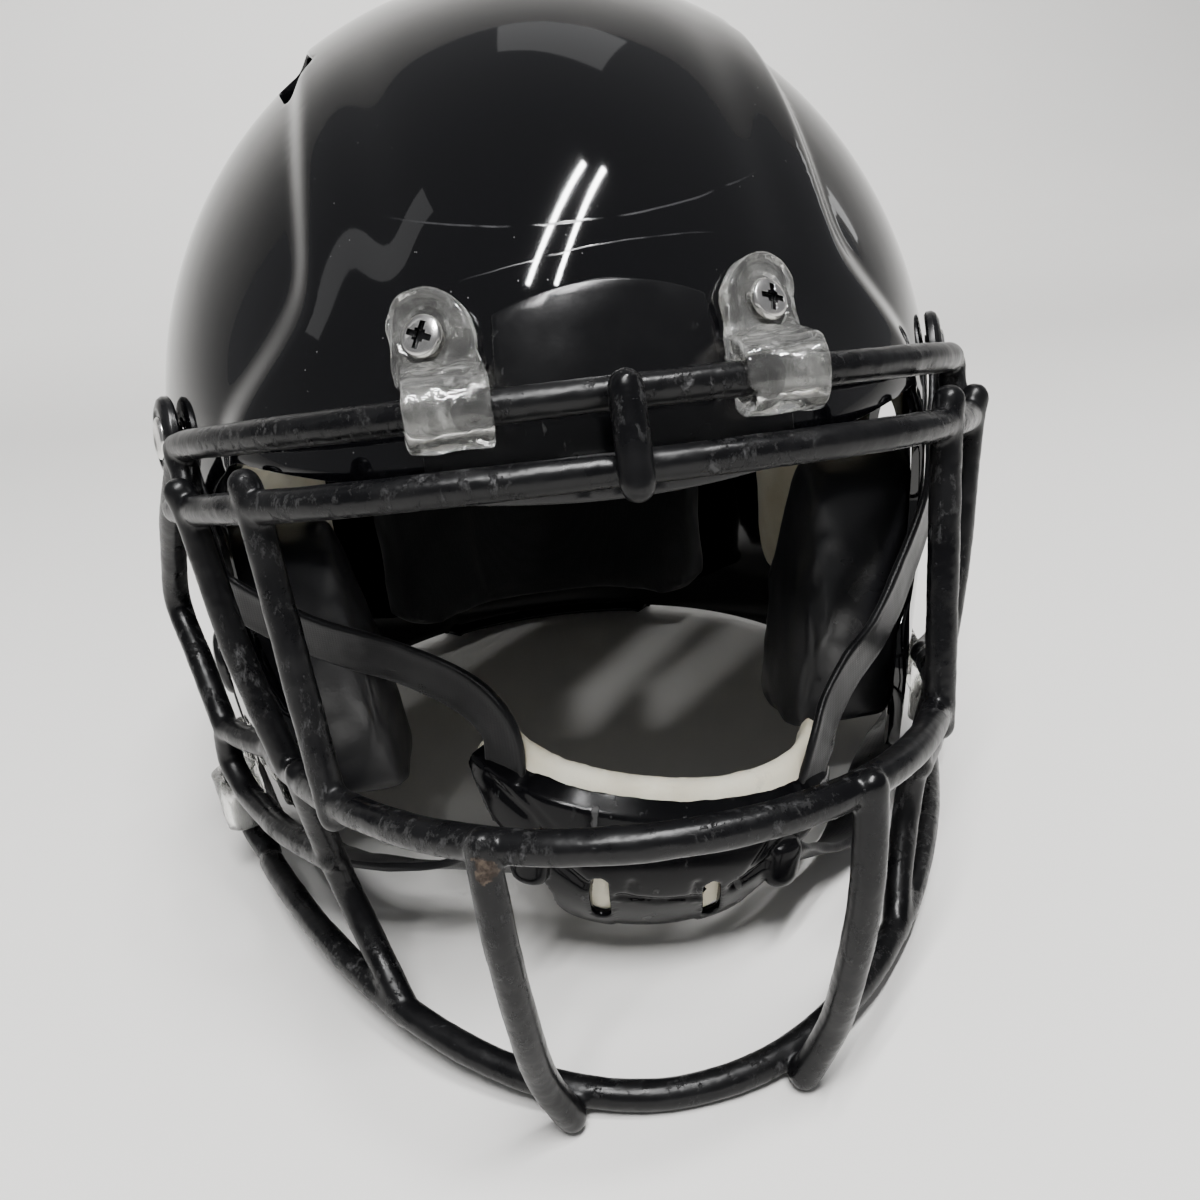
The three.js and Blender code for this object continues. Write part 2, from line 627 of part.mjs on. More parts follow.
// A flat strap: a box bent along a curve, its width turned from one direction to another on the way.
function ribbon(points, faces, steps = 20) {
  const curve = new THREE.CatmullRomCurve3(points, false, "centripetal");
  const normals = new THREE.CatmullRomCurve3(faces, false, "centripetal");
  const geometry = new THREE.BoxGeometry(STRAP_WIDTH, STRAP_THICKNESS, 1, 1, 1, steps);
  const position = geometry.attributes.position;
  for (let i = 0; i < position.count; i += 1) {
    const t = THREE.MathUtils.clamp(position.getZ(i) + 0.5, 0, 1);
    const tangent = curve.getTangent(t);
    const face = normals.getPoint(t);
    face.addScaledVector(tangent, -face.dot(tangent)).normalize();
    const across = new THREE.Vector3().crossVectors(face, tangent).normalize();
    const place = curve.getPoint(t);
    place.addScaledVector(across, position.getX(i)).addScaledVector(face, position.getY(i));
    position.setXYZ(i, place.x, place.y, place.z);
  }
  return toSolid(geometry);
}

function makeSnap(name, { place, normal }) {
  const { studR, studH, capR, capH, cavityR, cavityH } = SNAP;
  const foot = rod(place, normal, 5.5, -WALL - GAP - 2, 0).intersect(CAVITY);
  const neck = rod(place, normal, 2.4, -WALL - 2, studH - 1);
  const head = turned([[0, 0], [studR, 0], [studR - 0.8, 1.4], [studR, studH], [0, studH]], place, normal);
  addPiece(`${name}_stud`, joinAll([foot, neck, head.subtract(SKIN_CLEAR)]), STEEL);
  const cap = rod(place, normal, capR, 0, capH - 1.6).add(rod(place, normal, capR - 1.8, 0, capH));
  const cavity = rod(place, normal, cavityR, -1, cavityH);
  addPiece(`${name}_buckle`, cap.subtract(cavity).subtract(SKIN_CLEAR), BLACK_SATIN);
}

// Routes and facings of the straps in free air, from the cup to where they meet the shell's side.
// The cup hangs tilted, so the two halves differ. A facing's x is given for the +X half.
const UPPER_ROUTE = {
  left: [[-40, -79, 84.2], [-56.2, -68, 91], [-81.7, -53, 97.1], [-104, -38.5, 108]],
  right: [[58.7, -80, 63.2], [68.7, -70, 71], [80.9, -60, 77.4], [93.7, -48, 90.1], [104, -38.5, 106]],
};
const LOWER_ROUTE = {
  left: [[-46.4, -80, 32.4], [-62, -71, 28.5], [-76, -60, 25], [-87, -44, 18], [-100, -12, 9], [-119, 22, 9]],
  right: [[49.3, -82, 18.8], [64.8, -68, 10.5], [84, -38, 9], [103, -6, 8], [119, 22, 9]],
};
const UPPER_FACINGS = [[0.4, -0.9, 0.2], [0.52, -0.83, -0.1], [0.56, -0.78, -0.15], [0.85, -0.5, 0.1]];
const LOWER_FACINGS = [[0.6, -0.8, 0], [0.4, -0.5, -0.7], [0.3, -0.3, -0.9], [0.2, -0.1, -1], [1, 0, -0.3]];

function makeUpperStrap(side, sign, snap) {
  const points = [
    cupPoint(sign * 45, 14, 21),
    ...mirrored(UPPER_ROUTE[side], 1),
    sidePoint(sign, UPPER_SNAP.y - 20, UPPER_SNAP.z - 26, STRAP_LIFT).place,
    sidePoint(sign, UPPER_SNAP.y - 6.3, UPPER_SNAP.z - 8.7, STRAP_LIFT).place,
  ];
  const facings = [...mirrored(UPPER_FACINGS, sign), snap.normal, snap.normal];
  addPiece(`upper_strap_${side}`, ribbon(points, facings), BLACK_WEB);
}

function makeLowerStrap(side, sign, snap) {
  const points = [
    cupPoint(sign * 39, 22, -16),
    ...mirrored(LOWER_ROUTE[side], 1),
    sidePoint(sign, LOWER_SNAP.y - 5, LOWER_SNAP.z - 30, STRAP_LIFT).place,
    sidePoint(sign, LOWER_SNAP.y - 0.5, LOWER_SNAP.z - 10.6, STRAP_LIFT).place,
  ];
  const facings = [...mirrored(LOWER_FACINGS, sign), snap.normal];
  addPiece(`lower_strap_${side}`, ribbon(points, facings), BLACK_WEB);
}

// ---------------------------------------------------------------- assembly

makeShell();
makeFrontBumper();
makeRearBumper();
makeMask();
SIDES.forEach(([side, sign], i) => {
  makeFrontClip(side, sign, frontScrews[i]);
  makeScrew(`front_clip_screw_${side}`, frontScrews[i], CLIP_PLATE.thickness + 2 * GAP, -WALL - 1);
  makeNut(`front_clip_nut_${side}`, frontScrews[i]);
  makeSideClip(side, sign, sideScrews[i]);
  makeScrew(`side_clip_screw_${side}`, sideScrews[i], SIDE_CLIP.pad + 2 * GAP, 2 * GAP);
  makeNut(`side_clip_nut_${side}`, sideScrews[i]);
  makeSnap(`upper_snap_${side}`, upperSnaps[i]);
  makeSnap(`lower_snap_${side}`, lowerSnaps[i]);
  makeUpperStrap(side, sign, upperSnaps[i]);
  makeLowerStrap(side, sign, lowerSnaps[i]);
});
makePads();
makeChinCup();

export default helmet;
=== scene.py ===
import math

import bmesh
import bpy
import numpy as np
from mathutils import Matrix, Vector, geometry, kdtree, noise


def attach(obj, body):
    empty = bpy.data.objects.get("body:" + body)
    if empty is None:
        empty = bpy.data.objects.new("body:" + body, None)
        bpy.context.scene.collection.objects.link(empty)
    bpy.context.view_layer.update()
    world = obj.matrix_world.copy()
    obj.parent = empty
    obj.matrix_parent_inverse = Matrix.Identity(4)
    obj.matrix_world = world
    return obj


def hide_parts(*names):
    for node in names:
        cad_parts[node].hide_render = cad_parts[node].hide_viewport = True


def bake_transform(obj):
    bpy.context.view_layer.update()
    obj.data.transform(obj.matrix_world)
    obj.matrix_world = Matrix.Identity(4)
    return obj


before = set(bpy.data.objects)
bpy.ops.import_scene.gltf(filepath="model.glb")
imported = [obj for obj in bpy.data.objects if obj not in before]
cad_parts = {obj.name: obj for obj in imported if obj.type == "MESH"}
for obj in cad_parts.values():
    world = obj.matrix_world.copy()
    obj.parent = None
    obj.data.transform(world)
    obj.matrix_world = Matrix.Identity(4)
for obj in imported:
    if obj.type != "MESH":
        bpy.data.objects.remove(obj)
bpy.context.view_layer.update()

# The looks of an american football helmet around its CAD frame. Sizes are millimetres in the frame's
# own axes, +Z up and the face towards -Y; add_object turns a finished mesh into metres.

MM = 0.001
SIDES = (("left", -1), ("right", 1))
CURVE_STEPS = 24              # between two points of a smooth path
CLEAR_OF_EDGE = 0.32          # how near a panel's inner points come to its outline, in spacings
LATTICE_REACH = math.radians(150)                         # how far down from the top panels can reach

# ---------------------------------------------------------------- driving dimensions

# The shell's outer form, as in the CAD: half-sizes round a centre, and a raised middle.
CENTRE = np.array([0.0, 41.0, 128.0])
HALF_WIDTH = 125.5
FRONT_DEPTH = 155.5
REAR_DEPTH = 129.3
CROWN_HEIGHT = 133.0
SIDE_DROP = 330.0
PLAN_POWER = 1.75
REAR_PLAN_POWER = 2.1
SOFTEN = 0.12                 # rounds the middle plane and the widest section, where the powers meet
RAISE = 3.5
STEP_HALF = 4.2               # the raised middle slopes down over twice this width
FLUTE = {"depth": 1.0, "inset": 17.0, "width": 8.0, "rise": (150, 185), "fall": (225, 255)}
WALL = 3.8
BUMPER = 2.0
GAP = 0.3
RIDGE_X = 64.0
RIDGE_KINK_Z = 188.0
TEMPLE = (94.0, 158.0)
TEMPLE_LEAN = 0.3             # makes the step gentler between the temple and the ridge's kink
KINK_SOFTNESS = 0.08
REAR_RIDGE = ((-10.0, 46.0), (110.0, 50.0), (190.0, 60.0), (400.0, 64.0))    # (z, half-width)
MEAN_RADIUS = 140.0           # turns a spacing on the skin into an angle
OUTSIDE = {"side": 200.0, "end": 260.0, "top": 330.0}     # places well clear of the skin

BROW_Z = 150.0
NAPE_Z = 3.0
EAR_HOLE = {"y": 40.0, "z": 104.0, "radius": 16.0}
VENT = {"x": 66.0, "y": 20.0, "length": 36.0, "width": 10.0, "lean": 0.12}
REAR_VENT = {"x": 30.0, "z": 205.0, "length": 26.0, "width": 9.0, "lean": 0.3}

WIRE_R = 3.8
CHIP = Vector((-41.2, -165.5, 88.5))                      # the rusty chip, where a post meets the mid bar
PIVOT = np.array([36.2, -116.7, 170.5])                   # the top bar inside a front clip
CLIP_HALF_WIDTH = 9.25
CLIP_TOP_Z = 182.5            # the centre of the plate's round top
CLIP_FOOT_Z = 171.0
CLIP_ARC_STEPS = 30
CLIP_LIFT = 4.0               # from the skin to the front of a front clip's plate
SCREW_HOLE_R = 2.7            # in the clips

CUP_CENTRE = np.array([7.0, -71.0, 48.0])
CUP_RADII = (54.0, 38.0, 46.0)
CUP_TILT = 0.2
CUP_WALL = 2.8
CUP_HALF_SPAN = 52.0
CUP_SLOT = {"across": 15.6, "up": -22.0, "length": 18.0, "width": 5.0}
CUP_SLOT_LEAN = 0.25          # stands the slots upright although the cup hangs tilted
CUP_PLATE = {"half_width": 12.3, "depth": 0.6}            # the sunk field below and between the slots
CUP_WALL_TOP = 7.0            # where the cup's front wall gives way to the shelf that slopes to the pad
CUP_SHELF = 7.0
CUP_LUG = ((0, -7), (2.6, -7), (4.3, -5.8), (4.8, -4), (4.8, 4), (4.3, 5.8), (2.6, 7), (0, 7))
CUP_LUG_AT = (35.0, -11.0)
CUP_GROOVES = (               # (across, up) lines, depth and half-width
    (((0, -20.5), (11, -19.5)), 1.5, 1.3),
    (((20.5, -16.5), (30, -9)), 1.5, 1.3),
    (((9, -21), (9, -13)), 1.0, 0.9),
    (((47, 7), (37, 2), (31, -6)), 0.8, 1.3),
    (((40, 8), (29, -1), (24, -12)), 0.6, 1.0),
)

STRAP_WIDTH = 14.0
STRAP_THICKNESS = 2.0
STRAP_LINE = {"upper": np.array([0.1, 0.58, 0.81]), "lower": np.array([0.05, 0.08, 1.0])}
STRAP_LIFT = 1.7              # of its middle over the skin, where it lies on the shell
STRAP_STEPS = 150
FACING_WEIGHT = 0.01          # so that the facings hardly count in the spacing along a strap's path
COVER_STRETCH = 1.24          # a buckle's cover is longer along its strap than across it
STRAP_BLEND = (-16, -4)       # two steps along a strap's path, counted back from its end

# Fasteners on the skin: two of the coordinates of each, and the radius of its hole in the shell.
FASTENERS = {
    "front_screw": ({"x": 37.4, "z": 181.5}, 4.1),
    "side_screw": ({"y": 10.0, "z": 34.0}, 4.1),
    "upper_snap": ({"y": -12.0, "z": 147.0}, 2.7),
    "lower_snap": ({"y": 40.0, "z": 52.0}, 2.7),
}

# ---------------------------------------------------------------- meshes


def add_object(name, points, faces, material):
    """An object with a smooth mesh, from points in millimetres."""
    mesh = bpy.data.meshes.new(name)
    mesh.from_pydata((np.asarray(points, float) * MM).tolist(), [], [list(face) for face in faces])
    mesh.validate()
    if material:
        mesh.materials.append(material)
    mesh.shade_smooth()
    obj = bpy.data.objects.new(name, mesh)
    bpy.context.scene.collection.objects.link(obj)
    return obj


def settle(obj):
    """Applies the object's modifiers to its mesh."""
    graph = bpy.context.evaluated_depsgraph_get()
    mesh = bpy.data.meshes.new_from_object(obj.evaluated_get(graph))
    old = obj.data
    obj.modifiers.clear()
    obj.data = mesh
    mesh.name = obj.name
    bpy.data.meshes.remove(old)
    return obj


def outward(obj):
    """Turns every face of a closed mesh outwards."""
    bm = bmesh.new()
    bm.from_mesh(obj.data)
    bmesh.ops.recalc_face_normals(bm, faces=bm.faces)
    bm.to_mesh(obj.data)
    bm.free()
    return obj


def solid(name, points, faces, material=None):
    """A closed body with its faces pointing out."""
    return outward(add_object(name, points, faces, material))


def discard(obj):
    mesh = obj.data
    bpy.data.objects.remove(obj)
    bpy.data.meshes.remove(mesh)


def boolean(obj, cutter):
    """Cuts the cutter away, and deletes it; a cutter with a material leaves it on the cut faces."""
    modifier = obj.modifiers.new("cut", "BOOLEAN")
    modifier.operation = "DIFFERENCE"
    modifier.material_mode = "TRANSFER" if cutter.data.materials else "INDEX"
    modifier.solver = "EXACT"
    modifier.object = cutter
    settle(obj)
    discard(cutter)


def joined(objects, name):
    """One object that holds the meshes of several."""
    bm = bmesh.new()
    for obj in objects:
        bm.from_mesh(obj.data)
    target = objects[0]
    bm.to_mesh(target.data)
    bm.free()
    for obj in objects[1:]:
        discard(obj)
    target.name = name
    target.data.name = name
    return target


def moulded(obj, voxel, rounds):
    """A solid with its edges and inner corners rounded, as moulding or dipping leaves them."""
    material = obj.data.materials[0] if obj.data.materials else None
    remesh = obj.modifiers.new("remesh", "REMESH")
    remesh.mode = "VOXEL"
    remesh.voxel_size = voxel * MM
    remesh.use_smooth_shade = True
    smooth = obj.modifiers.new("smooth", "SMOOTH")
    smooth.factor = 0.5
    smooth.iterations = rounds
    settle(obj)
    obj.data.materials.clear()
    if material:
        obj.data.materials.append(material)
    obj.data.shade_smooth()
    return obj


def bevelled(obj, width, angle, segments=2):
    """Rounds the edges that turn by more than the angle."""
    bevel = obj.modifiers.new("bevel", "BEVEL")
    bevel.width = width * MM
    bevel.segments = segments
    bevel.limit_method = "ANGLE"
    bevel.angle_limit = math.radians(angle)
    settle(obj)
    obj.data.shade_smooth()
    return obj


def mesh_points(mesh):
    points = np.empty(len(mesh.vertices) * 3)
    mesh.vertices.foreach_get("co", points)
    return points.reshape(-1, 3)


def set_points(mesh, points):
    mesh.vertices.foreach_set("co", points.ravel())
    mesh.update()


def roughened(obj, layers):
    """Moves a surface in and out by a little noise: (size of a bump, its height) for each layer."""
    mesh = obj.data
    points = mesh_points(mesh)
    normals = np.empty(len(points) * 3)
    mesh.vertices.foreach_get("normal", normals)
    lift = np.zeros(len(points))
    for size, height in layers:
        places = points / (size * MM)
        lift += [noise.noise(place) * height * MM for place in places.tolist()]
    set_points(mesh, points + normals.reshape(-1, 3) * lift[:, None])


def capped_faces(rings, sides):
    """The faces of a body made of rings of points, with one point before the first and after the last."""
    faces = [(0, 1 + (i + 1) % sides, 1 + i) for i in range(sides)]
    for low in range(1, 1 + (rings - 1) * sides, sides):
        for i in range(sides):
            j = (i + 1) % sides
            faces.append((low + i, low + j, low + sides + j, low + sides + i))
    top = 1 + (rings - 1) * sides
    last = top + sides
    return faces + [(last, top + i, top + (i + 1) % sides) for i in range(sides)]


def lathe(profile, sides=48):
    """A closed body turned round Z from (radius, height) points that start and end on the axis."""
    turns = [2 * math.pi * i / sides for i in range(sides)]
    points = [(0, 0, profile[0][1])]
    for radius, height in profile[1:-1]:
        points += [(radius * math.cos(turn), radius * math.sin(turn), height) for turn in turns]
    points.append((0, 0, profile[-1][1]))
    return np.array(points, float), capped_faces(len(profile) - 2, sides)


def block(size):
    """A box of this size round the origin."""
    x, y, z = (half / 2 for half in size)
    points = [(sx * x, sy * y, sz * z) for sx in (-1, 1) for sy in (-1, 1) for sz in (-1, 1)]
    faces = [(0, 1, 3, 2), (4, 6, 7, 5), (0, 4, 5, 1), (2, 3, 7, 6), (0, 2, 6, 4), (1, 5, 7, 3)]
    return np.array(points, float), faces


def basis(normal, hint=(0, 0, 1)):
    """Three axes as columns: across, along the hint, and the normal."""
    out = np.asarray(normal, float) / np.linalg.norm(normal)
    across = np.cross(hint, out)
    across /= np.linalg.norm(across)
    return np.column_stack([across, np.cross(out, across), out])


def placed(points, axes, place):
    return np.asarray(points) @ np.asarray(axes).T + np.asarray(place)


def smooth_path(points, steps):
    """A centripetal Catmull-Rom curve through the points, as even steps along its length."""
    knots = np.asarray(points, float)
    knots = np.vstack([2 * knots[0] - knots[1], knots, 2 * knots[-1] - knots[-2]])
    dense = []
    for p0, p1, p2, p3 in zip(knots, knots[1:], knots[2:], knots[3:]):
        t0 = 0.0
        t1 = t0 + np.linalg.norm(p1 - p0) ** 0.5
        t2 = t1 + np.linalg.norm(p2 - p1) ** 0.5
        t3 = t2 + np.linalg.norm(p3 - p2) ** 0.5
        for t in np.linspace(t1, t2, CURVE_STEPS, endpoint=False):
            a1 = (t1 - t) / (t1 - t0) * p0 + (t - t0) / (t1 - t0) * p1
            a2 = (t2 - t) / (t2 - t1) * p1 + (t - t1) / (t2 - t1) * p2
            a3 = (t3 - t) / (t3 - t2) * p2 + (t - t2) / (t3 - t2) * p3
            b1 = (t2 - t) / (t2 - t0) * a1 + (t - t0) / (t2 - t0) * a2
            b2 = (t3 - t) / (t3 - t1) * a2 + (t - t1) / (t3 - t1) * a3
            dense.append((t2 - t) / (t2 - t1) * b1 + (t - t1) / (t2 - t1) * b2)
    dense.append(knots[-2])
    return even_steps(np.array(dense), steps)


def even_steps(dense, steps):
    length = np.concatenate([[0], np.cumsum(np.linalg.norm(np.diff(dense, axis=0), axis=1))])
    at = np.linspace(0, length[-1], steps + 1)
    return np.column_stack([np.interp(at, length, column) for column in dense.T])


def tangents_of(path):
    tangents = np.gradient(path, axis=0)
    return tangents / np.linalg.norm(tangents, axis=1)[:, None]


def tube(path, radius, sides):
    """A round bar along a path, with domed ends."""
    tangents = tangents_of(path)
    side = np.cross(tangents[0], (0.31, 0.27, 0.91))
    rings = []
    for place, tangent in zip(path, tangents):
        side = side - tangent * (side @ tangent)
        side /= np.linalg.norm(side)
        rings.append((place, side, np.cross(tangent, side), radius))
    first, last = rings[0], rings[-1]
    for angle in (math.radians(30), math.radians(60)):
        wide = radius * math.cos(angle)
        rings.insert(0, (first[0] - tangents[0] * radius * math.sin(angle), *first[1:3], wide))
        rings.append((last[0] + tangents[-1] * radius * math.sin(angle), *last[1:3], wide))
    turns = np.linspace(0, 2 * math.pi, sides, endpoint=False)
    points = [path[0] - tangents[0] * radius]
    for place, u, v, r in rings:
        points += [place + r * (math.cos(a) * u + math.sin(a) * v) for a in turns]
    points.append(path[-1] + tangents[-1] * radius)
    return np.array(points), capped_faces(len(rings), sides)


# ---------------------------------------------------------------- the helmet's form


def smoothstep(value, low, high):
    t = np.clip((value - low) / (high - low), 0, 1)
    return t * t * (3 - 2 * t)


def soft_ramp(value):
    """Zero below 0 and the value above it, with the kink softened."""
    return 0.5 * (value + np.sqrt(value ** 2 + KINK_SOFTNESS))


def rounded_power(ratio, power):
    """|ratio| ** power with its kink at zero rounded off; still 0 at 0 and 1 at 1."""
    base = SOFTEN ** power
    top = (1 + SOFTEN ** 2) ** (power / 2) - base
    return ((ratio ** 2 + SOFTEN ** 2) ** (power / 2) - base) / top


def dome_distance(d):
    """Distance from the centre to the dome under the raised middle, along unit directions."""
    front = d[:, 1] < 0
    depth = np.where(front, FRONT_DEPTH, REAR_DEPTH)
    power = np.where(front, PLAN_POWER, REAR_PLAN_POWER)
    height = SIDE_DROP + (CROWN_HEIGHT - SIDE_DROP) * smoothstep(d[:, 2], -0.2, 0.15)
    reach = plan_size(d[:, 0] / HALF_WIDTH, d[:, 1] / depth, power)
    return 1 / np.sqrt(reach ** 2 + (d[:, 2] / height) ** 2)


def plan_size(x, y, power):
    """The size of the plan's rounded superellipse that passes through (x, y)."""
    size = np.hypot(x, y) + 1e-9
    for _ in range(12):
        total = rounded_power(x / size, power) + rounded_power(y / size, power)
        size = size * total ** (1 / power)
    return size


def skin_distance(d):
    """Distance from the centre to the outer skin along unit directions, raised middle included."""
    distance = dome_distance(d)
    x, y, z = (CENTRE + d * distance[:, None]).T
    drop = (RIDGE_KINK_Z - z) / (RIDGE_KINK_Z - TEMPLE[1])
    drop = soft_ramp(drop) - soft_ramp(drop - 1)
    front_half = RIDGE_X + (TEMPLE[0] - RIDGE_X) * drop
    rear_half = np.interp(z, *zip(*REAR_RIDGE))
    to_rear = smoothstep(y, CENTRE[1] - 25, CENTRE[1] + 25)
    half = front_half * (1 - to_rear) + rear_half * to_rear
    above_temple = smoothstep(z, TEMPLE[1] - 12, TEMPLE[1] + 6)
    below_kink = 1 - smoothstep(z, RIDGE_KINK_Z - 6, RIDGE_KINK_Z + 8)
    lean = 1 - TEMPLE_LEAN * above_temple * below_kink
    inside = (half - np.abs(x)) * lean
    step = RAISE * smoothstep(inside, -STEP_HALF, STEP_HALF)
    flute = FLUTE["depth"] * np.exp(-((inside - FLUTE["inset"]) / FLUTE["width"]) ** 2)
    fade = smoothstep(z, *FLUTE["rise"]) * (1 - smoothstep(z, *FLUTE["fall"])) * (1 - to_rear)
    return distance + step - flute * fade


def skin_points(directions):
    return CENTRE + directions * skin_distance(directions)[:, None]


def directions_of(points):
    spread = np.asarray(points, float) - CENTRE
    return spread / np.linalg.norm(spread, axis=1)[:, None]


def skin_normals(directions):
    """Outward normals of the skin, from the slope of the form across each direction."""
    step = 1e-3
    helper = np.where(np.abs(directions[:, 2:3]) < 0.9, [[0, 0, 1.0]], [[1.0, 0, 0]])
    u = np.cross(directions, helper)
    u /= np.linalg.norm(u, axis=1)[:, None]
    v = np.cross(directions, u)
    edges = []
    for axis in (u, v):
        ahead = directions + axis * step
        back = directions - axis * step
        ahead /= np.linalg.norm(ahead, axis=1)[:, None]
        back /= np.linalg.norm(back, axis=1)[:, None]
        edges.append(skin_points(ahead) - skin_points(back))
    normals = np.cross(edges[0], edges[1])
    normals /= np.linalg.norm(normals, axis=1)[:, None]
    flip = np.sign((normals * directions).sum(1))
    return normals * flip[:, None]


def skin_along(starts, ends):
    """Where the lines from inside points to outside points leave the skin."""
    low = np.zeros(len(starts))
    high = np.ones(len(starts))
    for _ in range(30):
        middle = (low + high) / 2
        points = starts + (ends - starts) * middle[:, None]
        spread = points - CENTRE
        size = np.linalg.norm(spread, axis=1)
        within = size < skin_distance(spread / np.maximum(size, 1e-9)[:, None])
        low = np.where(within, middle, low)
        high = np.where(within, high, middle)
    return starts + (ends - starts) * low[:, None]


def seen_along(axis, outline, start, end):
    """Points of the skin from the other two coordinates, between an inside and an outside place."""
    outline = np.asarray(outline, float)
    return skin_along(np.insert(outline, axis, start, axis=1), np.insert(outline, axis, end, axis=1))


def seen_from_side(outline, sign):
    return seen_along(0, outline, 0.0, sign * OUTSIDE["side"])


def seen_from_front(outline, rear=False):
    return seen_along(1, outline, CENTRE[1], OUTSIDE["end"] if rear else -OUTSIDE["end"])


def seen_from_top(outline):
    return seen_along(2, outline, CENTRE[2], OUTSIDE["top"])


def at_height(z, azimuths):
    """Points of the skin at one height, at angles from +X towards +Y round the centre."""
    turn = np.column_stack([np.cos(azimuths), np.sin(azimuths), np.zeros(len(azimuths))])
    starts = np.tile([CENTRE[0], CENTRE[1], z], (len(azimuths), 1))
    return skin_along(starts, starts + turn * OUTSIDE["end"])


def skin_place(x=None, y=None, z=None, sign=1):
    """A point of the skin, from two of its coordinates, with its outward normal."""
    if x is None:
        point = seen_from_side([[y, z]], sign)
    else:
        point = seen_from_front([[sign * x, z]])
    return point[0], skin_normals(directions_of(point))[0]


def curve2d(*parts, step=1.6):
    """An outline from corner points; a (corner, end) pair bends through the corner to the end."""
    points = [np.asarray(parts[0], float)]
    for part in parts[1:]:
        start = points[-1]
        if np.ndim(part) == 1:
            end = np.asarray(part, float)
            count = max(1, int(np.linalg.norm(end - start) / step))
            points += [start + (end - start) * i / count for i in range(1, count + 1)]
        else:
            bend, end = (np.asarray(p, float) for p in part)
            count = max(2, int((np.linalg.norm(bend - start) + np.linalg.norm(end - bend)) / step))
            for t in np.arange(1, count + 1) / count:
                points.append((1 - t) ** 2 * start + 2 * t * (1 - t) * bend + t * t * end)
    return np.array(points)


def slot2d(u, v, length, width, angle):
    """A slot with round ends, its length along the angle."""
    along = np.array([math.cos(angle), math.sin(angle)]) * (length - width) / 2
    points = []
    for sign in (1, -1):
        for turn in np.linspace(-math.pi / 2, math.pi / 2, 15):
            rounding = np.array([math.cos(angle + turn), math.sin(angle + turn)]) * width / 2
            points.append(np.array([u, v]) + sign * (along + rounding))
    return np.array(points)


def circle2d(radius, count, centre=(0, 0)):
    turns = np.linspace(0, 2 * math.pi, count, endpoint=False)
    return np.column_stack([np.cos(turns), np.sin(turns)]) * radius + centre


def ring_round(place, normal, radius):
    circle = circle2d(radius, 28)
    return placed(np.column_stack([circle, np.zeros(len(circle))]), basis(normal), place)


# ---------------------------------------------------------------- panels that follow the form


def to_plane(directions):
    """Stereographic, seen from above: it keeps angles, so even points stay even."""
    return directions[:, :2] / (1 + directions[:, 2:3])


def from_plane(plane):
    square = (plane ** 2).sum(1)
    return np.column_stack([2 * plane[:, 0], 2 * plane[:, 1], 1 - square]) / (1 + square)[:, None]


def within_loop(points, loop):
    """Which of the plane points lie inside a closed loop."""
    inside = np.zeros(len(points), bool)
    for (ax, ay), (bx, by) in zip(loop, np.roll(loop, -1, axis=0)):
        crosses = (ay > points[:, 1]) != (by > points[:, 1])
        with np.errstate(divide="ignore", invalid="ignore"):
            at = (bx - ax) * (points[:, 1] - ay) / (by - ay) + ax
        inside ^= crosses & (points[:, 0] < at)
    return inside


def sphere_lattice(spacing):
    """Even directions from the top down to well below the middle."""
    step = spacing / MEAN_RADIUS
    rows = []
    for k in range(1, int(LATTICE_REACH / step)):
        theta = k * step
        count = max(6, round(2 * math.pi * math.sin(theta) / step))
        phi = (np.arange(count) + 0.5 * (k % 2)) * 2 * math.pi / count
        ring = np.column_stack([np.cos(phi), np.sin(phi), 0 * phi]) * math.sin(theta)
        ring[:, 2] = math.cos(theta)
        rows.append(ring)
    return np.concatenate(rows)


def within_panel(points, loops):
    """Which of the plane points lie inside the outline and outside its holes."""
    keep = within_loop(points, loops[0])
    for hole in loops[1:]:
        keep &= ~within_loop(points, hole)
    return keep


def fill_loops(loops, lattice, spacing):
    """Triangles between an outline and its holes: plane points and faces."""
    coords = [point for loop in loops for point in loop]
    edges = []
    for loop in loops:
        start = len(edges)
        edges += [(start + i, start + (i + 1) % len(loop)) for i in range(len(loop))]
    tree = kdtree.KDTree(len(coords))
    for i, point in enumerate(coords):
        tree.insert((point[0], point[1], 0), i)
    tree.balance()
    for point in lattice[within_panel(lattice, loops)]:
        scale = 1 + point @ point
        near = tree.find((point[0], point[1], 0))[2]
        if near > CLEAR_OF_EDGE * spacing * scale:
            coords.append(point)
    result = geometry.delaunay_2d_cdt([Vector(point) for point in coords], edges, [], 0, 1e-7)
    plane = np.array([tuple(vert) for vert in result[0]])
    faces = np.array(result[2])
    return plane, faces[within_panel(plane[faces].mean(1), loops)]


def form_panel(name, loops, spacing, lift, thickness, material, edge):
    """A panel on the helmet's form: its loops are points of the skin, and it is thickened inwards."""
    plane_loops = [to_plane(directions_of(loop)) for loop in loops]
    lattice = to_plane(sphere_lattice(spacing))
    plane, faces = fill_loops(plane_loops, lattice, spacing / MEAN_RADIUS)
    directions = from_plane(plane)
    normals = skin_normals(directions)
    points = skin_points(directions) + normals * lift
    obj = add_object(name, points, faces, material)
    return bevelled(thickened(obj, points, faces, directions, thickness), edge, 50, 3)


def thickened(obj, points, faces, outwards, thickness):
    """Gives an open sheet a wall on its inner side; outwards holds a direction for each point."""
    first, second, third = (points[faces[:, k]] for k in range(3))
    if (np.cross(second - first, third - first) * outwards[faces[:, 0]]).sum() < 0:
        obj.data.flip_normals()
    solidify = obj.modifiers.new("wall", "SOLIDIFY")
    solidify.thickness = thickness * MM
    solidify.offset = -1
    return settle(obj)


# ---------------------------------------------------------------- materials


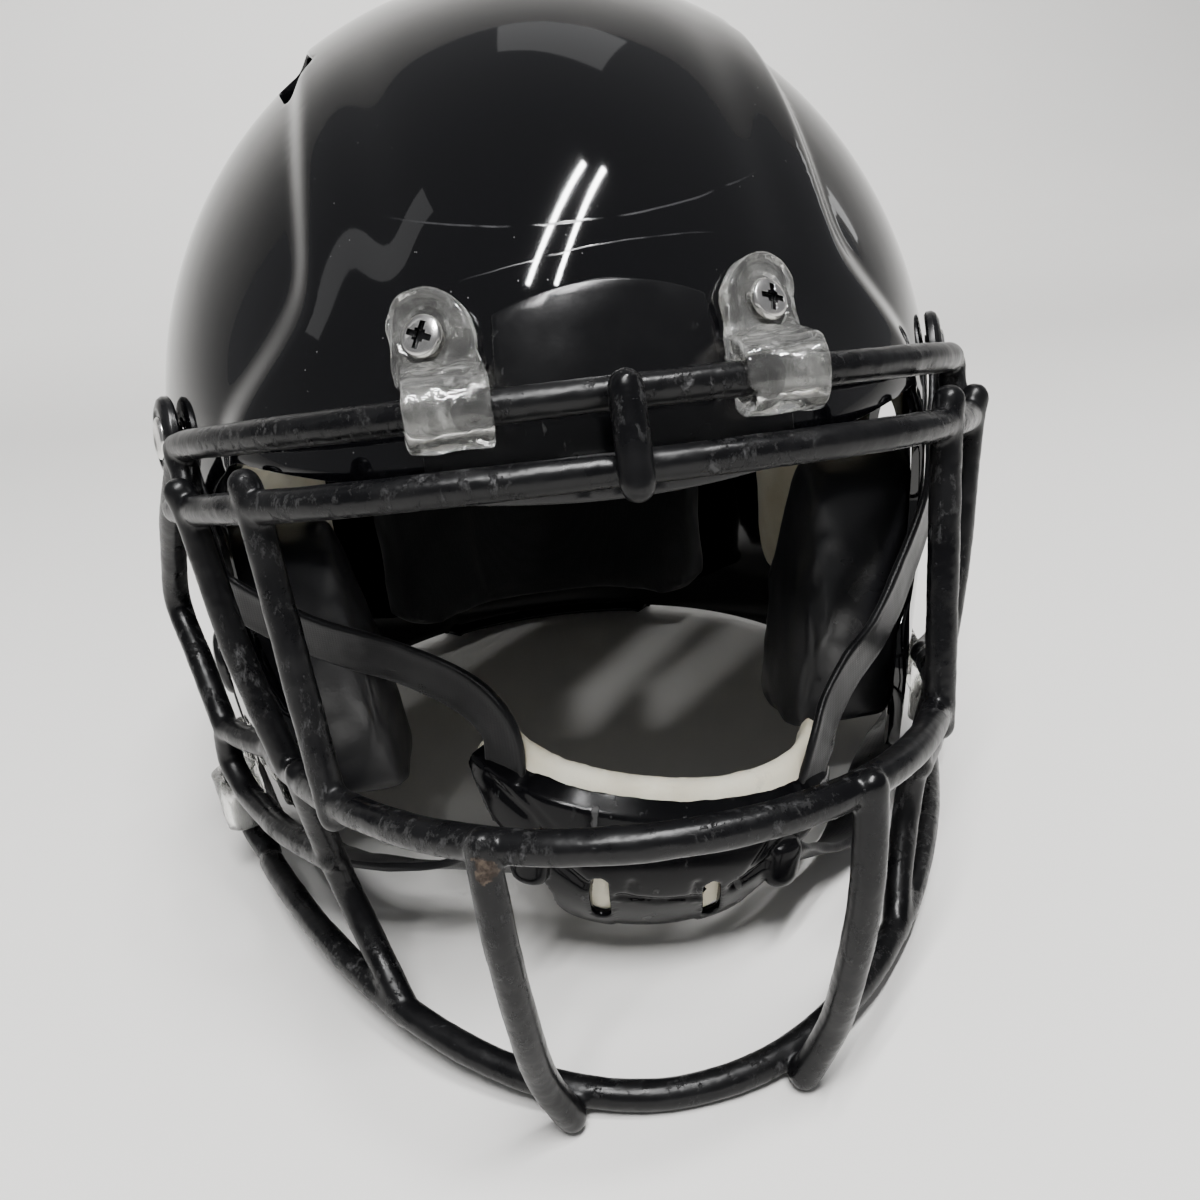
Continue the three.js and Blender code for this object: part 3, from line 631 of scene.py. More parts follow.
class Shader:
    """A material's node tree, with a short way to add and link nodes."""

    def __init__(self, name, colour, roughness, **sockets):
        self.material = bpy.data.materials.new(name)
        self.material.use_nodes = True
        self.tree = self.material.node_tree
        self.surface = self.tree.nodes["Principled BSDF"]
        self.set("Base Color", (*colour, 1))
        self.set("Roughness", roughness)
        for socket, value in sockets.items():
            self.set(socket.replace("_", " "), value)
        self.coordinates = self.tree.nodes.new("ShaderNodeTexCoord").outputs["Object"]

    def set(self, socket, value):
        self.surface.inputs[socket].default_value = value

    def node(self, kind, inputs, **settings):
        node = self.tree.nodes.new("ShaderNode" + kind)
        for setting, value in settings.items():
            setattr(node, setting, value)
        for socket, value in inputs.items():
            if isinstance(value, bpy.types.NodeSocket):
                self.tree.links.new(value, node.inputs[socket])
            else:
                node.inputs[socket].default_value = value
        return node

    def noise(self, scale, detail, roughness=0.5, stretch=None):
        place = self.coordinates if stretch is None else self.stretched(stretch)
        inputs = {"Vector": place, "Scale": scale, "Detail": detail, "Roughness": roughness}
        return self.node("TexNoise", inputs).outputs["Fac"]

    def stretched(self, scale, turn=(0, 0, 0)):
        inputs = {"Vector": self.coordinates, "Scale": scale, "Rotation": turn}
        return self.node("Mapping", inputs).outputs["Vector"]

    def cells(self, scale, randomness=1.0, place=None):
        inputs = {"Vector": place or self.coordinates, "Scale": scale, "Randomness": randomness}
        return self.node("TexVoronoi", inputs).outputs["Distance"]

    def span(self, value, low, high, to_low=0.0, to_high=1.0):
        inputs = {"Value": value, "From Min": low, "From Max": high, "To Min": to_low, "To Max": to_high}
        return self.node("MapRange", inputs).outputs["Result"]

    def chain(self, operation, values):
        """One maths node after the other, so that all the values go into one."""
        result, *others = values
        for value in others:
            result = self.node("Math", {0: result, 1: value}, operation=operation).outputs["Value"]
        return result

    def times(self, *values):
        return self.chain("MULTIPLY", values)

    def plus(self, *values):
        return self.chain("ADD", values)

    def most(self, *values):
        return self.chain("MAXIMUM", values)

    def absolute(self, value):
        return self.node("Math", {0: value}, operation="ABSOLUTE").outputs["Value"]

    def mix(self, amount, first, second):
        """From the first colour to the second; each is a socket or three numbers."""
        first, second = (
            tone if isinstance(tone, bpy.types.NodeSocket) else (*tone, 1) for tone in (first, second)
        )
        return self.node("Mix", {0: amount, 6: first, 7: second}, data_type="RGBA").outputs[2]

    def link(self, value, socket):
        self.tree.links.new(value, self.surface.inputs[socket])

    def bump(self, *layers):
        """Bump from (height, distance in mm, strength) layers, one on the other."""
        normal = None
        for height, distance, strength in layers:
            inputs = {"Height": height, "Distance": distance * MM, "Strength": strength}
            if normal:
                inputs["Normal"] = normal
            normal = self.node("Bump", inputs).outputs["Normal"]
        self.link(normal, "Normal")

    def near_line(self, height, slope, bend, half_length, half_width):
        """1 on a thin, nearly level line over the forehead, 0 elsewhere; all in metres."""
        split = self.node("SeparateXYZ", {"Vector": self.coordinates})
        x, z = split.outputs["X"], split.outputs["Z"]
        wobble = self.span(self.noise(40, 2), 0, 1, -0.0008, 0.0008)
        line = self.plus(self.times(x, slope), height, self.times(x, x, bend), wobble)
        off = self.absolute(self.chain("SUBTRACT", (z, line)))
        thin = self.span(off, half_width * 0.4, half_width, 1, 0)
        ends = self.span(self.absolute(x), half_length * 0.7, half_length, 1, 0)
        ahead = self.span(split.outputs["Y"], -0.04, -0.05, 0, 1)
        broken = self.span(self.noise(120, 2), 0.35, 0.55)
        return self.times(thin, ends, ahead, broken)


def shell_gloss():
    black = (0.0015, 0.0015, 0.002)
    s = Shader("shell_gloss", black, 0.06, Specular_IOR_Level=0.4, Coat_Weight=0.25, Coat_Roughness=0.03)
    haze = s.noise(14, 4, 0.6)
    hairs = s.noise(5, 6, 0.7, stretch=(26, 26, 260))
    hairs = s.times(s.span(hairs, 0.64, 0.7), s.span(s.noise(18, 2), 0.5, 0.65), 0.35)
    long_one = s.near_line(height=0.2035, slope=0.02, bend=2.2, half_length=0.046, half_width=0.00028)
    short_one = s.near_line(height=0.1985, slope=0.08, bend=-3.0, half_length=0.03, half_width=0.0002)
    marks = s.most(long_one, short_one, hairs)
    dust = s.times(s.span(s.cells(260), 0.035, 0.055, 1, 0), s.span(s.noise(11, 2), 0.47, 0.6))
    colour = s.mix(marks, black, (0.03, 0.03, 0.032))
    s.link(s.mix(dust, colour, (0.14, 0.14, 0.14)), "Base Color")
    rough = s.span(haze, 0.35, 0.7, 0.03, 0.075)
    s.link(s.plus(rough, s.times(s.most(marks, dust), 0.22)), "Roughness")
    s.bump((s.noise(32, 2), 0.25, 0.05), (marks, 0.04, 0.3), (s.noise(420, 2), 0.02, 0.12))
    return s.material


def mask_coating():
    """Dipped black coating: satin, scuffed grey in patches, nicked, and chipped to rust at one weld."""
    s = Shader("mask_coating", (0.003, 0.003, 0.0035), 0.3, Specular_IOR_Level=0.24)
    wear = s.noise(70, 6, 0.62)
    patches = s.span(s.noise(30, 3), 0.48, 0.62)
    torn = s.noise(330, 6, 0.75, stretch=(1, 1, 0.5))
    scuffs = s.times(s.span(torn, 0.55, 0.64), patches)
    hairs = s.noise(900, 4, 0.7, stretch=(0.12, 1, 1))
    hairs = s.times(s.span(hairs, 0.66, 0.72), s.span(s.noise(50, 2), 0.5, 0.6), 0.7)
    marks = s.most(scuffs, hairs)
    shade = s.mix(s.span(wear, 0.35, 0.7), (0.002, 0.002, 0.0025), (0.006, 0.006, 0.0065))
    shade = s.mix(marks, shade, (0.06, 0.06, 0.062))
    chip = s.node("VectorMath", {0: s.coordinates, 1: CHIP * MM}, operation="DISTANCE")
    ragged = s.plus(chip.outputs["Value"], s.span(s.noise(420, 3), 0.2, 0.8, -0.0016, 0.0016))
    rust = s.span(ragged, 0.0027, 0.0031, 1, 0)
    rust_tone = s.mix(s.span(s.noise(600, 3), 0.42, 0.6), (0.02, 0.013, 0.009), (0.075, 0.056, 0.042))
    s.link(s.mix(rust, shade, rust_tone), "Base Color")
    rough = s.span(wear, 0.3, 0.7, 0.2, 0.42)
    s.link(s.plus(rough, s.times(s.most(marks, rust), 0.3)), "Roughness")
    s.bump((s.noise(130, 3), 0.6, 0.4), (scuffs, 0.5, 1.0), (s.noise(700, 3), 0.06, 0.5), (rust, 0.5, -0.9))
    return s.material


def clear_plastic():
    """Clear moulded clips: glassy, a little cloudy and scratched."""
    s = Shader("clear_plastic", (0.97, 0.97, 0.94), 0.1, IOR=1.49)
    cloud = s.noise(110, 4, 0.6)
    scuffs = s.span(s.noise(330, 5, 0.7, stretch=(1, 1, 0.3)), 0.56, 0.68)
    milky = s.plus(s.span(cloud, 0.45, 0.8, 0, 0.35), s.times(scuffs, 0.5))
    s.link(s.span(milky, 0, 1, 0.97, 0.72), "Transmission Weight")
    s.link(s.span(milky, 0, 1, 0.04, 0.4), "Roughness")
    s.bump((s.noise(150, 3), 0.5, 0.35), (scuffs, 0.06, 0.5))
    return s.material


def plated_steel(name, dark):
    """Bright plating, tarnished in places to a darker tone."""
    s = Shader(name, (0.78, 0.78, 0.77), 0.2, Metallic=1.0)
    tarnish = s.noise(160, 4, 0.6)
    s.link(s.mix(s.span(tarnish, 0.5, 0.8), (0.8, 0.79, 0.77), (dark, dark * 0.96, dark * 0.9)), "Base Color")
    s.link(s.span(s.noise(300, 3), 0.3, 0.7, 0.14, 0.28), "Roughness")
    s.bump((s.noise(1200, 2, 0.5, stretch=(1, 4, 1)), 0.03, 0.25))
    return s.material


def black_moulding(name, roughness, grain, gloss):
    """Moulded black plastic with a few nicks; grain is the strength of its fine surface texture."""
    s = Shader(name, (0.003, 0.003, 0.0035), roughness, Specular_IOR_Level=gloss)
    wear = s.noise(40, 5, 0.6)
    torn = s.span(s.noise(260, 4, stretch=(1, 1, 0.3)), 0.63, 0.68)
    nicks = s.times(torn, s.span(s.noise(30, 2), 0.52, 0.6))
    shade = s.mix(wear, (0.002, 0.002, 0.0025), (0.004, 0.004, 0.0045))
    s.link(s.mix(nicks, shade, (0.05, 0.05, 0.05)), "Base Color")
    rough = s.span(wear, 0.3, 0.7, roughness - 0.05, roughness + 0.09)
    s.link(s.plus(rough, s.times(nicks, 0.25)), "Roughness")
    s.bump((s.noise(1400, 2), 0.03, grain), (nicks, 0.1, 0.5))
    return s.material


def black_vinyl():
    s = Shader("black_vinyl", (0.02, 0.02, 0.022), 0.34, Specular_IOR_Level=0.7)
    grain = s.cells(900, place=s.stretched((1, 1, 1), (0.3, 0.5, 0.2)))
    tone = s.noise(30, 4)
    s.link(s.mix(s.span(tone, 0.3, 0.7), (0.016, 0.016, 0.018), (0.03, 0.03, 0.033)), "Base Color")
    s.link(s.span(tone, 0.3, 0.7, 0.26, 0.38), "Roughness")
    s.bump((s.noise(60, 3), 0.8, 0.15), (grain, 0.1, 0.25))
    return s.material


def lining_cloth():
    s = Shader("lining_cloth", (0.005, 0.005, 0.006), 0.9, Sheen_Weight=0.25, Sheen_Roughness=0.5)
    knit = s.cells(1100, randomness=0.35, place=s.stretched((1, 1, 1.4)))
    s.link(s.mix(s.span(knit, 0.1, 0.6), (0.011, 0.011, 0.012), (0.003, 0.003, 0.004)), "Base Color")
    s.bump((s.noise(45, 3), 1.2, 0.3), (knit, 0.35, -0.7))
    return s.material


def cream_foam():
    s = Shader("cream_foam", (0.78, 0.74, 0.62), 0.75, Sheen_Weight=0.1, Subsurface_Weight=0.12)
    s.set("Subsurface Radius", (0.004, 0.003, 0.002))
    stain = s.noise(38, 5, 0.6)
    smudge = s.span(s.noise(160, 4, 0.65), 0.62, 0.75)
    tone = s.mix(s.span(stain, 0.35, 0.7), (0.8, 0.765, 0.63), (0.68, 0.62, 0.46))
    s.link(s.mix(s.times(smudge, 0.5), tone, (0.42, 0.38, 0.29)), "Base Color")
    s.link(s.span(stain, 0.3, 0.7, 0.6, 0.85), "Roughness")
    s.bump((s.noise(90, 3), 0.6, 0.25), (s.cells(1500), 0.12, 0.4))
    return s.material


def webbing():
    """Flat woven strap: a fine ribbed weave along both axes of the band."""
    s = Shader("webbing", (0.01, 0.01, 0.011), 0.5, Sheen_Weight=0.05, Specular_IOR_Level=0.16)
    threads = {"Vector": s.coordinates, "Scale": 420.0, "Distortion": 0.6, "Detail": 1.0}
    along, across = (s.node("TexWave", threads, bands_direction=axis).outputs["Fac"] for axis in "ZX")
    weave = s.times(along, across)
    tone = s.noise(60, 4)
    s.link(s.mix(s.span(tone, 0.35, 0.7), (0.003, 0.003, 0.0035), (0.009, 0.009, 0.01)), "Base Color")
    s.link(s.span(s.plus(tone, s.times(weave, 0.3)), 0.3, 1.0, 0.26, 0.42), "Roughness")
    s.bump((s.noise(80, 2), 0.3, 0.2), (weave, 0.08, 0.4))
    return s.material


def pale_floor():
    s = Shader("pale_floor", (0.84, 0.825, 0.8), 0.85)
    s.link(s.mix(s.noise(3, 4), (0.83, 0.82, 0.795), (0.88, 0.865, 0.84)), "Base Color")
    s.bump((s.noise(9, 3), 3.0, 0.15), (s.noise(1500, 2), 0.1, 0.2))
    return s.material


GLOSS = shell_gloss()
COATING = mask_coating()
CLEAR = clear_plastic()
PLATED = plated_steel("plated_steel", dark=0.5)
MOULDING = black_moulding("black_moulding", roughness=0.24, grain=0.25, gloss=0.4)
SATIN = black_moulding("bumper_satin_black", roughness=0.2, grain=0.35, gloss=0.4)
SNAP_METAL = plated_steel("snap_nickel", dark=0.6)
CUP_BLACK = black_moulding("cup_black", roughness=0.15, grain=0.1, gloss=0.15)
VINYL = black_vinyl()
CLOTH = lining_cloth()
FOAM = cream_foam()
WEBBING = webbing()
FLOOR = pale_floor()

# ---------------------------------------------------------------- shell


def fine(full):
    """The spacing of a full run, returned as given."""
    return full


def stand_for(piece, body, slot, *nodes):
    """The piece rides the body if one is given and stands for CAD nodes, which it hides; slot is not used."""
    if body:
        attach(piece, body)
    if nodes:
        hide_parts(*nodes)


def shell_edge():
    """The shell's whole lower edge and face opening as one closed loop of points on the skin."""
    jaw = curve2d(
        (-60, BROW_Z), ((-35, 143), (-33, 118)), ((-31, 96), (-46, 74)), ((-58, 60), (-52, 40)),
        ((-44, 18), (-10, 17)), (70, 15), ((92, 14), (108, NAPE_Z)),
    )
    right = seen_from_side(jaw, 1)
    left = seen_from_side(jaw, -1)
    front_turn = math.atan2(right[0][1] - CENTRE[1], right[0][0])
    rear_turn = math.atan2(right[-1][1] - CENTRE[1], right[-1][0])
    brow = at_height(BROW_Z, np.linspace(math.pi - front_turn, 2 * math.pi + front_turn, 170)[1:-1])
    nape = at_height(NAPE_Z, np.linspace(rear_turn, math.pi - rear_turn, 130)[1:-1])
    return np.concatenate([brow, right, nape, left[::-1]])


def shell_holes():
    """The ear holes, both pairs of vents, and a hole for each screw and stud."""
    ear = circle2d(EAR_HOLE["radius"], 60, (EAR_HOLE["y"], EAR_HOLE["z"]))
    for _, sign in SIDES:
        yield seen_from_side(ear, sign)
        lean = math.pi / 2 - sign * VENT["lean"]
        yield seen_from_top(slot2d(sign * VENT["x"], VENT["y"], VENT["length"], VENT["width"], lean))
        lean = math.pi / 2 - sign * REAR_VENT["lean"]
        rear = slot2d(sign * REAR_VENT["x"], REAR_VENT["z"], REAR_VENT["length"], REAR_VENT["width"], lean)
        yield seen_from_front(rear, rear=True)
    for _, sign in SIDES:
        for at, radius in FASTENERS.values():
            yield ring_round(*skin_place(sign=sign, **at), radius)


def make_shell():
    shell = form_panel("shell_skin", [shell_edge(), *shell_holes()], fine(1.8), 0, WALL, GLOSS, 1.0)
    stand_for(shell, "shell", "shell_gloss", "shell")


# ---------------------------------------------------------------- face mask


def swept_bar(half_span, front, back2, back4, height, rise2, rise4):
    """Points of a bar across the front that bends back and up with the square and fourth power of x."""
    x = np.linspace(-1, 1, 121) * half_span
    s = (x / 100) ** 2
    return np.column_stack([x, front + back2 * s + back4 * s * s, height + rise2 * s + rise4 * s * s])


def whole_bars():
    """The top, brow, mid and lower bars and the centre post."""
    top = swept_bar(101, front=-120.8, back2=27.0, back4=34.3, height=171.6, rise2=-7.4, rise4=-8.1)
    corner = np.array([[107.5, -43.9, 151.7]])
    yield smooth_path(np.concatenate([corner * (-1, 1, 1), top[::6], corner]), 260)
    yield swept_bar(110, front=-128.6, back2=14.5, back4=42.0, height=157.3, rise2=-3.8, rise4=-10.8)
    yield swept_bar(98, front=-169.4, back2=60.8, back4=62.1, height=92.5, rise2=-8.9, rise4=-20.9)
    yield swept_bar(110, front=-147.5, back2=72.0, back4=20.0, height=WIRE_R, rise2=22.0, rise4=-13.0)
    yield smooth_path([[0, -129.5, 174.8], [0, -136.6, 156]], 12)


SIDE_WIRE_FOOT = (115.1, -28.3, 59.6)
HINGE_WIRE_TOP = (116.6, -25.5, 48)
HINGE_WIRE = ((111, -26.5, 11.6), (116.8, -16, 17), (118.3, -14.5, 30), (117.2, -21.5, 43))
SIDE_WIRES = {                # those on the right; the left ones mirror them
    "side_wire": (
        (107.5, -44.5, 151.7), (107.9, -42.5, 149), (117.7, -22.3, 126), (123.2, -9.8, 109.5),
        (127, -1, 92), (121.3, -14.1, 76.7), SIDE_WIRE_FOOT,
    ),
    "corner_link": ((107.2, -46, 151), (105.4, -51.6, 145), (107.4, -55.6, 138.5)),
    "mid_end": ((96, -57.7, 66.4), (98, -53.7, 64.7), (107, -41, 61.5), SIDE_WIRE_FOOT),
    "jaw_brace": (
        SIDE_WIRE_FOOT, (115.7, -27, 56.5), HINGE_WIRE_TOP, (112, -34, 40.5), (104, -50, 40),
        (97.7, -63, 42), (90, -76, 44.5), (82.5, -88, 47),
    ),
    "hinge_wire": (*HINGE_WIRE, HINGE_WIRE_TOP),
    "eye_wire": ((104.6, -66.5, 146), (103.2, -67.5, 140.9), (97, -76, 105), (88.5, -85, 73.6)),
    "cheek_wire": ((83.2, -98.3, 155), (82.4, -99.3, 150.2), (79.4, -106.6, 122.6), (74.8, -118, 78)),
    "outer_post": (
        (84.8, -95.3, 78), (84.5, -94.8, 74.5), (83.5, -88.5, 57), (80.5, -87, 38), (74.5, -96, 22.5),
        (67.4, -111, 10.5),
    ),
    "inner_post": (
        (41, -160.3, 92), (41, -160.6, 88), (40, -162, 70), (37.5, -158.5, 42), (34.5, -153, 20),
        (29, -149.3, 4.3),
    ),
}


def mask_paths():
    yield from whole_bars()
    for points in SIDE_WIRES.values():
        length = sum(math.dist(a, b) for a, b in zip(points, points[1:]))
        for _, sign in SIDES:
            yield smooth_path(mirrored(points, sign), max(8, int(length / 1.2)))


def make_mask():
    wires = [add_object("wire", *tube(path, WIRE_R + 0.12, 24), COATING) for path in mask_paths()]
    mask = moulded(joined(wires, "mask_frame"), fine(0.75), 7)
    roughened(mask, ((11, 0.16), (4, 0.08), (1.8, 0.04)))
    stand_for(mask, "facemask", "mask_coated", *[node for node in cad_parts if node.startswith("mask_")])


# ---------------------------------------------------------------- small solids


def rod(place, normal, radius, low, high):
    points, faces = lathe([(0, low), (radius, low), (radius, high), (0, high)], 40)
    return placed(points, basis(normal), place), faces


def prism_x(outline, low, high):
    """A (y, z) outline as a block between two x values."""
    count = len(outline)
    points = [(x, y, z) for x in (low, high) for y, z in outline]
    sides = [(i, (i + 1) % count, count + (i + 1) % count, count + i) for i in range(count)]
    return points, sides + [tuple(range(count))[::-1], tuple(range(count, 2 * count))]


def lifted(points, lift):
    """Skin points moved outwards."""
    return points + skin_normals(directions_of(points)) * lift


def mirrored(points, sign):
    return np.asarray(points, float) * (sign, 1, 1)


def rounded2d(corners, radius):
    """A closed outline with its corners bent round."""
    corners = np.asarray(corners, float)
    parts = []
    for before, corner, after in zip(np.roll(corners, 1, axis=0), corners, np.roll(corners, -1, axis=0)):
        start = corner + (before - corner) * radius / np.linalg.norm(before - corner)
        end = corner + (after - corner) * radius / np.linalg.norm(after - corner)
        parts += [start, (corner, end)]
    return curve2d(*parts, parts[0])[:-1]


# ---------------------------------------------------------------- bumpers


def strip(path, facings, width, thickness, bead=0.0):
    """A flat band along a path: rounded edges, and a bead along both if asked."""
    track = np.asarray(path, float)
    tangents = tangents_of(track)
    facings = np.asarray(facings, float)
    facings = facings - tangents * (facings * tangents).sum(1)[:, None]
    facings /= np.linalg.norm(facings, axis=1)[:, None]
    across = np.cross(facings, tangents)
    half = thickness / 2
    reach = width / 2 - half
    section = []
    for sign in (1, -1):
        for turn in np.linspace(-math.pi / 2, math.pi / 2, 9):
            section.append((sign * (reach + half * math.cos(turn)), sign * (half + bead) * math.sin(turn)))
        for share in (0.8, 0.4, 0, -0.4, -0.8):
            section.append((sign * reach * share, sign * half))
    section = np.array(section)
    rows = [centre + section[:, :1] * a + section[:, 1:] * f for centre, a, f in zip(track, across, facings)]
    return np.concatenate(rows), row_faces(len(rows), len(section))


def row_faces(rows, count):
    """The faces of a closed body built of rows of points, flat at both ends."""
    faces = []
    for low in range(0, (rows - 1) * count, count):
        for i in range(count):
            j = (i + 1) % count
            faces.append((low + i, low + j, low + count + j, low + count + i))
    last = (rows - 1) * count
    return faces + [tuple(range(count))[::-1], tuple(range(last, last + count))]


def bumper(name, outline, rear, edge_z, half_width, reach):
    """A trim panel on the skin with a lip hooked round the shell's edge."""
    panel = form_panel(name, [seen_from_front(outline, rear)], 2.4, GAP + BUMPER, BUMPER, SATIN, 0.7)
    line = [(x, edge_z) for x in np.linspace(-half_width, half_width, 40)]
    path = lifted(seen_from_front(line, rear), (BUMPER - WALL - reach) / 2)
    facings = np.tile((0.0, 0.0, -1.0), (len(path), 1))
    lip = add_object("lip", *strip(path, facings, WALL + BUMPER + reach, BUMPER - 0.2), SATIN)
    stand_for(outward(joined([panel, lip], f"{name}_trim")), "shell", "bumper_satin", name)


def make_bumpers():
    front = curve2d(
        (-42, 147), (42, 147), (42, 158), (25.5, 162), (23.5, 186), ((0, 197), (-23.5, 186)),
        (-25.5, 162), (-42, 158), (-42, 147),
    )[:-1]
    bumper("front_bumper", front, rear=False, edge_z=BROW_Z - 1.4, half_width=41.5, reach=2.2)
    rear = curve2d((-48, 0.5), (48, 0.5), (44, 26), ((0, 36), (-44, 26)), (-48, 0.5))[:-1]
    bumper("rear_bumper", rear, rear=True, edge_z=1.3, half_width=47.5, reach=4.2)


# ---------------------------------------------------------------- clips and fasteners


def front_plate_outline(sign, inset):
    """A half-round plate standing on the loop, seen from the front: its arc, then its two foot corners."""
    middle = sign * PIVOT[0]
    radius = CLIP_HALF_WIDTH - inset
    turns = np.linspace(0, math.pi, CLIP_ARC_STEPS)
    arc = np.column_stack([middle + radius * np.cos(turns), CLIP_TOP_Z + radius * np.sin(turns)])
    return np.concatenate([arc, [(middle - radius, CLIP_FOOT_Z), (middle + radius, CLIP_FOOT_Z)]])


def under_skin(outline):
    """A cutter for whatever of a part on the shell reaches into the shell's wall."""
    return outward(form_panel("under", [outline], 3.0, 0.35, 20.0, None, 0.2))


def make_front_clip(side, sign, screw):
    """A plate with a raised rim on the shell, a loop over the top bar, and a ribbed web between them."""
    middle = sign * PIVOT[0]
    low, high = middle - CLIP_HALF_WIDTH, middle + CLIP_HALF_WIDTH
    outline = seen_from_front(front_plate_outline(sign, 0))
    rim = lifted(seen_from_front(front_plate_outline(sign, 1.1)[:CLIP_ARC_STEPS]), CLIP_LIFT)
    web = [(-112, 171), (-84, 171), (-84, 177), (-98, 178.6), (-106, 178.4), (-116, 178.9)]
    parts = [
        form_panel("plate", [outline], 1.5, CLIP_LIFT, CLIP_LIFT - GAP, CLEAR, 0.5),
        add_object("rim", *tube(rim, 1.1, 10), CLEAR),
        add_object("ring", *prism_x(circle2d(8.4, 40, PIVOT[1:]), low, high), CLEAR),
        add_object("web", *prism_x(web, low, high), CLEAR),
    ]
    for x in middle + np.arange(-5.5, 5.6, 1.8):
        rib = np.array([(x, -114, 179.0), (x, -107.5, 178.6)])
        parts.append(add_object("rib", *tube(rib, 0.6, 8), CLEAR))
    clip = moulded(joined(parts, f"front_clip_{side}_body"), 0.7, 1)
    around = rounded2d([(-15, 160), (15, 160), (15, 202), (-15, 202)], 3) + (middle, 0)
    boolean(clip, under_skin(seen_from_front(around)))
    reach = CLIP_HALF_WIDTH + 1
    bore = [(0, -reach), (4.9, -reach), (4.25, -3), (4.25, 3), (4.9, reach), (0, reach)]
    points, faces = lathe(bore, 40)
    boolean(clip, solid("bore", placed(points, basis((1, 0, 0)), PIVOT * (sign, 1, 1)), faces))
    boolean(clip, solid("seat", *rod(*screw, 6.6, 3.0, 12)))
    boolean(clip, solid("hole", *rod(*screw, SCREW_HOLE_R, -3, 12)))
    points, faces = block((5, 9, 4.5))
    corner = PIVOT * (sign, 1, 1) - (sign * 10.2, 6, 3)
    boolean(clip, solid("notch", points + corner, faces))
    moulded(clip, 0.5, 8)
    roughened(clip, ((6, 0.5), (2.5, 0.12)))
    clip.data.materials[0] = CLEAR
    stand_for(clip, "shell", "clip_clear", f"front_clip_{side}")


def make_side_clip(side, sign, screw):
    """A loop round the hinge wire, a round foot under its screw, and a flat plate from one to the other."""
    place, normal = screw
    low, high = mirrored(HINGE_WIRE[1:3], sign)
    loop = low + (high - low) * 0.7
    seat = place + normal * 2.2
    length = np.linalg.norm(seat - loop)
    forward = (seat - loop) / length
    across = np.cross(normal, forward)
    across /= np.linalg.norm(across)
    axes = np.column_stack([forward, across, np.cross(forward, across)])
    points, faces = block((length, 18.5, 3.0))
    parts = [
        add_object("plate", placed(points, axes, (seat + loop) / 2), faces, CLEAR),
        add_object("ring", *rod(loop, high - low, 7.4, -8, 12), CLEAR),
        add_object("foot", *rod(place, normal, 9.3, 0.5, 3.5), CLEAR),
    ]
    clip = moulded(joined(parts, f"side_clip_{side}_body"), 0.7, 1)
    around = rounded2d([(-16, 12), (30, 12), (30, 58), (-16, 58)], 3)
    boolean(clip, under_skin(seen_from_side(around, sign)))
    boolean(clip, solid("bore", *tube(smooth_path(mirrored(HINGE_WIRE, sign), 40), WIRE_R + 0.35, 24)))
    boolean(clip, solid("hole", *rod(place, normal, SCREW_HOLE_R, -3, 12)))
    moulded(clip, 0.55, 5)
    roughened(clip, ((7, 0.3), (2.5, 0.1)))
    clip.data.materials[0] = CLEAR
    stand_for(clip, "facemask", "clip_clear", f"side_clip_{side}")


def make_turned(name, profile, place, normal, material, body, slot, *nodes):
    points, faces = lathe(profile)
    piece = solid(name, placed(points, basis(normal), place), faces, material)
    bevelled(piece, 0.2, 25)
    stand_for(piece, body, slot, *nodes)


def make_screw(name, place, normal, lift, tip, body):
    """A pan-head screw with a cross recess, cut while it stands upright at the origin; the recess walls are
    painted black as shade.
    """
    profile = [
        (0, tip), (2.4, tip), (2.4, lift), (5, lift), (5, lift + 0.9), (4.6, lift + 1.7), (3.4, lift + 2.2),
        (0, lift + 2.4),
    ]
    screw = solid(f"{name}_head", *lathe(profile), PLATED)
    # The cutters carry the black moulding material, which the cut leaves on the recess walls: painted shade
    # inside the cross recess.
    for size in ((6.4, 1.4, 3.0), (1.4, 6.4, 3.0), (2.8, 2.8, 4.4)):
        points, faces = block(size)
        boolean(screw, solid("cut", points + (0, 0, lift + 2.6), faces, MOULDING))
    bevelled(screw, 0.1, 30)
    set_points(screw.data, placed(mesh_points(screw.data) / MM, basis(normal, (0.35, 0.1, 1)), place) * MM)
    stand_for(screw, body, "screw_steel", name)


def make_nut(name, place, normal):
    """A flanged nut inside the shell, its barrel up through the wall."""
    flange = -WALL - GAP - 1.8
    profile = [
        (0, flange), (7.0, flange), (7.5, flange + 0.5), (7.5, flange + 1.5), (3.9, flange + 1.7),
        (3.9, -1.4), (2.8, -1.4), (2.8, flange + 0.8), (0, flange + 0.8),
    ]
    make_turned(f"{name}_turned", profile, place, normal, PLATED, "shell", "screw_steel", name)


